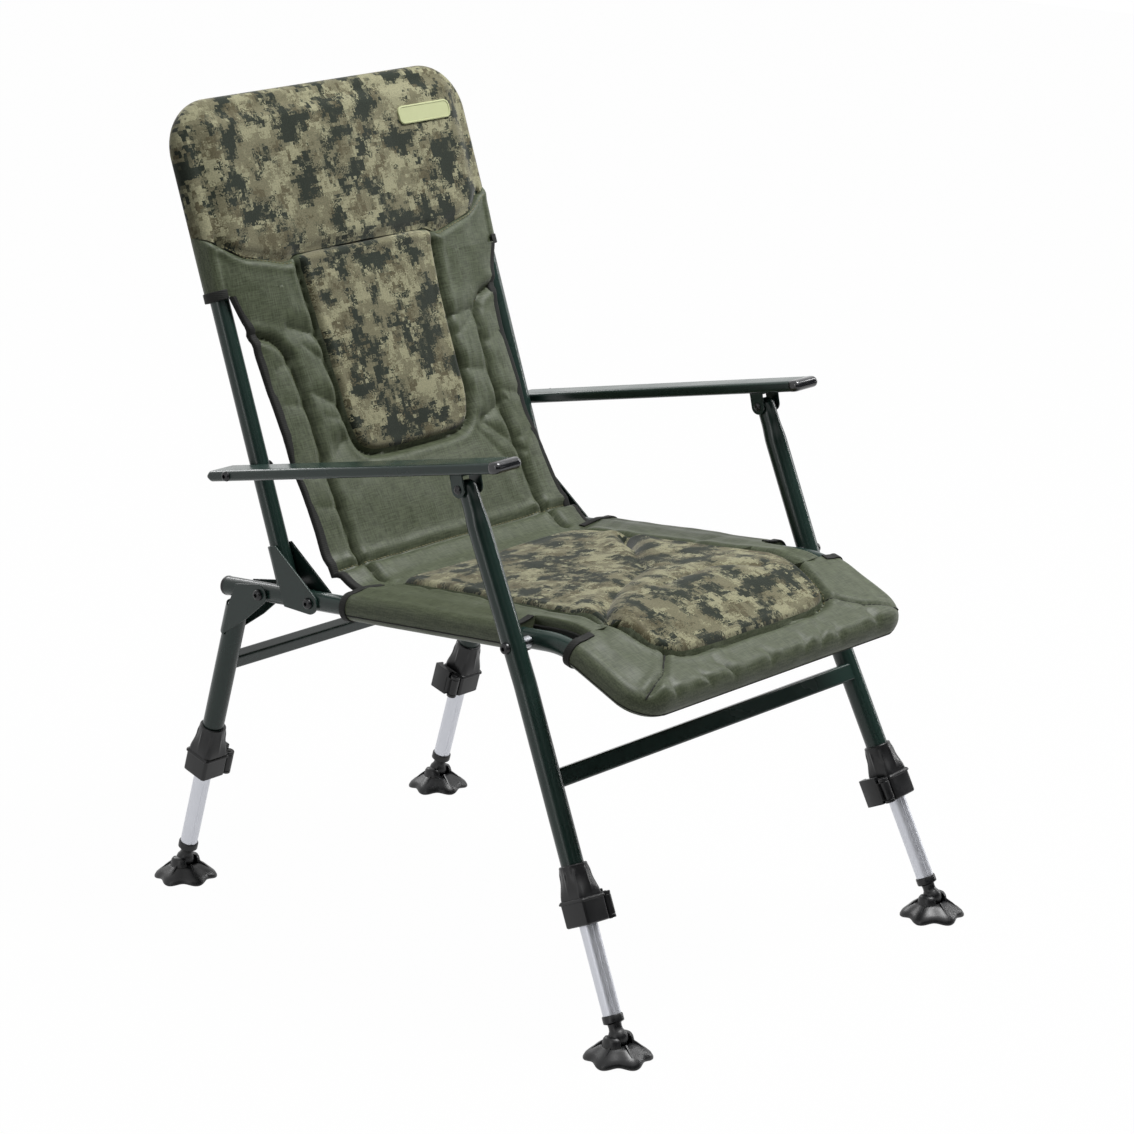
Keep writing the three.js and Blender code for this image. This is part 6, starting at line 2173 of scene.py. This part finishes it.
def backdrop_material(colour_value):
    # Studio sweep: painted paper. The camera sees it white, with a trace of the shadow
    material = bpy.data.materials.new("painted paper sweep")
    material.use_nodes = True
    tree = material.node_tree
    tree.nodes.clear()
    paper = add_node(tree, "ShaderNodeBsdfDiffuse", {"Color": rgba(colour_value)})
    white = add_node(tree, "ShaderNodeEmission", {"Color": rgba(WHITE), "Strength": 1.0})
    seen = seen_rays(tree)
    share = add_node(tree, "ShaderNodeMath", {0: seen, 1: 1 - SHADOW_SHARE}, operation="MULTIPLY")
    mix = add_node(
        tree,
        "ShaderNodeMixShader",
        {0: share.outputs["Value"], 1: paper.outputs["BSDF"], 2: white.outputs["Emission"]},
    )
    add_node(tree, "ShaderNodeOutputMaterial", {"Surface": mix.outputs["Shader"]})
    return material


def make_sheet(name, corners, material):
    mesh = bpy.data.meshes.new(name)
    mesh.from_pydata(corners, [], [tuple(range(len(corners)))])
    mesh.materials.append(material)
    return linked(name, mesh)


def softbox(name, place, width, height, watts):
    light = bpy.data.lights.new(name, "AREA")
    light.shape = "RECTANGLE"
    light.size = width
    light.size_y = height
    light.energy = watts
    made = linked(name, light)
    made.location = place
    made.rotation_euler = (Vector(LAMP_TARGET) - Vector(place)).to_track_quat("-Z", "Y").to_euler()
    return made


LAMPS = (
    ("Key softbox", (0.9, -0.9, 3.5), 1.3, 1.3, 140),
    ("Left strip", (-3.1, -0.35, 1.6), 0.3, 2.4, 11),
    ("Right strip", (3.0, -1.0, 1.6), 0.25, 2.4, 26),
    ("Back strip", (0.6, 2.9, 1.9), 1.6, 0.5, 22),
)

# Dark cards round the front, as a studio sets them, for contrast in the gloss of the tubes
CARDS = ((-2.1, -1.95), (0.0, -2.85), (2.1, -1.95))
CARD_WIDTH = 2.3
CARD_HEIGHT = 2.0


def make_card(number, place, material):
    across = Vector((place[1], -place[0], 0)).normalized() * CARD_WIDTH / 2
    foot = Vector((*place, CARD_FOOT))
    top = Vector((0, 0, CARD_HEIGHT))
    corners = [foot - across, foot + across, foot + across + top, foot - across + top]
    card = make_sheet(f"Dark card {number}", corners, material)
    card.visible_camera = False
    return card


def white_world():
    world = bpy.data.worlds.new("White studio")
    world.use_nodes = True
    tree = world.node_tree
    tree.nodes.clear()
    sky = add_node(tree, "ShaderNodeBackground", {"Color": rgba(WHITE), "Strength": SKY})
    white = add_node(tree, "ShaderNodeBackground", {"Color": rgba(WHITE), "Strength": 1.0})
    mix = add_node(
        tree,
        "ShaderNodeMixShader",
        {0: seen_rays(tree), 1: sky.outputs["Background"], 2: white.outputs["Background"]},
    )
    add_node(tree, "ShaderNodeOutputWorld", {"Surface": mix.outputs["Shader"]})
    return world


def make_camera():
    camera = linked("Camera", bpy.data.cameras.new("Camera"))
    camera.data.lens = CAMERA_LENS
    camera.data.sensor_width = SENSOR_WIDTH
    camera.location = CAMERA_PLACE
    camera.rotation_euler = [math.radians(angle) for angle in CAMERA_TURN]
    return camera


def make_stage():
    scene = bpy.context.scene
    scene.world = white_world()
    scene.view_settings.view_transform = "Standard"
    reach = FLOOR_SIZE / 2
    signs = ((-1, -1), (1, -1), (1, 1), (-1, 1))
    corners = [(x * reach, y * reach, -FLOOR_DROP) for x, y in signs]
    staged = [make_sheet("Floor", corners, backdrop_material(PAPER))]
    card = finish("matt black card", {"Base Color": rgba(CARD_BLACK), "Roughness": 0.9})[0]
    staged += [make_card(i, place, card) for i, place in enumerate(CARDS, 1)]
    staged += [softbox(*lamp) for lamp in LAMPS]
    scene.camera = make_camera()
    staged.append(scene.camera)


# Operators
def ready(context):
    """The scene, once the finishes are made from its colours."""
    scene = context.scene
    if not FINISHES:
        make_finishes(scene.chair_colours)
    return scene


class ChairMaker:
    """What all the operators share"""
    bl_options = {"REGISTER", "UNDO"}


class CHAIR_OT_stage(ChairMaker, bpy.types.Operator):
    """Sets the camera, the lamps and the white sweep"""
    bl_idname = "chair.stage"
    bl_label = "Stage"

    def execute(self, context):
        ready(context)
        make_stage()
        return {"FINISHED"}


class CHAIR_OT_seat_tube(ChairMaker, bpy.types.Operator):
    """Bends the seat tube and plugs its rear ends"""
    bl_idname = "chair.seat_tube"
    bl_label = "Seat Tube"

    def execute(self, context):
        make_seat_tube(ready(context).chair_tubes)
        return {"FINISHED"}


class CHAIR_OT_back_tube(ChairMaker, bpy.types.Operator):
    """Bends the back tube and folds the brackets that hold it"""
    bl_idname = "chair.back_tube"
    bl_label = "Back Tube"

    def execute(self, context):
        scene = ready(context)
        make_back_tube(scene.chair_tubes)
        make_back_brackets(scene.chair_tubes)
        return {"FINISHED"}


class CHAIR_OT_bolts(ChairMaker, bpy.types.Operator):
    """Turns the hinge bolts, their washers and the leg spacers"""
    bl_idname = "chair.bolts"
    bl_label = "Bolts"

    def execute(self, context):
        make_bolts(ready(context).chair_tubes)
        return {"FINISHED"}


class CHAIR_OT_armrests(ChairMaker, bpy.types.Operator):
    """Makes the armrests with their caps, forks, rivets and bolts"""
    bl_idname = "chair.armrests"
    bl_label = "Armrests"

    def execute(self, context):
        make_armrests(ready(context).chair_tubes)
        return {"FINISHED"}


class CHAIR_OT_front_legs(ChairMaker, bpy.types.Operator):
    """Bends the front legs and joins them with their bar"""
    bl_idname = "chair.front_legs"
    bl_label = "Front Legs"

    def execute(self, context):
        make_front_legs(ready(context).chair_tubes)
        return {"FINISHED"}


class CHAIR_OT_rear_legs(ChairMaker, bpy.types.Operator):
    """Makes the rear legs, their brackets and their bar"""
    bl_idname = "chair.rear_legs"
    bl_label = "Rear Legs"

    def execute(self, context):
        make_rear_legs(ready(context).chair_tubes)
        return {"FINISHED"}


class CHAIR_OT_leg_locks(ChairMaker, bpy.types.Operator):
    """Moulds the four leg locks and their levers"""
    bl_idname = "chair.leg_locks"
    bl_label = "Leg Locks"

    def execute(self, context):
        ready(context)
        make_locks()
        return {"FINISHED"}


class CHAIR_OT_inner_legs(ChairMaker, bpy.types.Operator):
    """Draws the sliding inner legs with their ball ends"""
    bl_idname = "chair.inner_legs"
    bl_label = "Inner Legs"

    def execute(self, context):
        make_inner_legs(ready(context).chair_tubes)
        return {"FINISHED"}


class CHAIR_OT_feet(ChairMaker, bpy.types.Operator):
    """Moulds the four lobed mud feet"""
    bl_idname = "chair.feet"
    bl_label = "Mud Feet"

    def execute(self, context):
        ready(context)
        make_feet()
        return {"FINISHED"}


class CHAIR_OT_seat_cover(ChairMaker, bpy.types.Operator):
    """Sews the seat cover, its fleece panel, tape and stitches"""
    bl_idname = "chair.seat_cover"
    bl_label = "Seat Cover"

    def execute(self, context):
        scene = ready(context)
        make_seat_cover(scene.chair_tubes, scene.chair_cloth)
        return {"FINISHED"}


class CHAIR_OT_back_cover(ChairMaker, bpy.types.Operator):
    """Sews the back cover down to the seat, with its panel, tape and stitches"""
    bl_idname = "chair.back_cover"
    bl_label = "Back Cover"

    def execute(self, context):
        scene = ready(context)
        make_back_cover(scene.chair_tubes, scene.chair_cloth)
        return {"FINISHED"}


class CHAIR_OT_headrest(ChairMaker, bpy.types.Operator):
    """Stuffs the headrest and sews on its badge"""
    bl_idname = "chair.headrest"
    bl_label = "Headrest"

    def execute(self, context):
        ready(context)
        make_headrest()
        return {"FINISHED"}


OPERATORS = (
    CHAIR_OT_stage,
    CHAIR_OT_seat_tube,
    CHAIR_OT_back_tube,
    CHAIR_OT_bolts,
    CHAIR_OT_armrests,
    CHAIR_OT_front_legs,
    CHAIR_OT_rear_legs,
    CHAIR_OT_leg_locks,
    CHAIR_OT_inner_legs,
    CHAIR_OT_feet,
    CHAIR_OT_seat_cover,
    CHAIR_OT_back_cover,
    CHAIR_OT_headrest,
)


class CHAIR_PT_panel(bpy.types.Panel):
    bl_idname = "CHAIR_PT_panel"
    bl_label = "Bank Chair"
    bl_space_type = "VIEW_3D"
    bl_region_type = "UI"
    bl_category = "Bank Chair"

    def draw(self, context):
        layout = self.layout
        for group in (context.scene.chair_tubes, context.scene.chair_cloth, context.scene.chair_colours):
            for name in group.__annotations__:
                layout.prop(group, name)
        for operator in OPERATORS:
            layout.operator(operator.bl_idname)


GROUPS = (ChairTubes, ChairCloth, ChairColours)


def register():
    for made in GROUPS + OPERATORS + (CHAIR_PT_panel,):
        bpy.utils.register_class(made)
    bpy.types.Scene.chair_tubes = PointerProperty(type=ChairTubes)
    bpy.types.Scene.chair_cloth = PointerProperty(type=ChairCloth)
    bpy.types.Scene.chair_colours = PointerProperty(type=ChairColours)


def unregister():
    del bpy.types.Scene.chair_tubes
    del bpy.types.Scene.chair_cloth
    del bpy.types.Scene.chair_colours
    for made in reversed(GROUPS + OPERATORS + (CHAIR_PT_panel,)):
        bpy.utils.unregister_class(made)


def main():
    register()
    for operator in OPERATORS:
        family, name = operator.bl_idname.split(".")
        getattr(getattr(bpy.ops, family), name)()


if __name__ == "__main__":
    main()
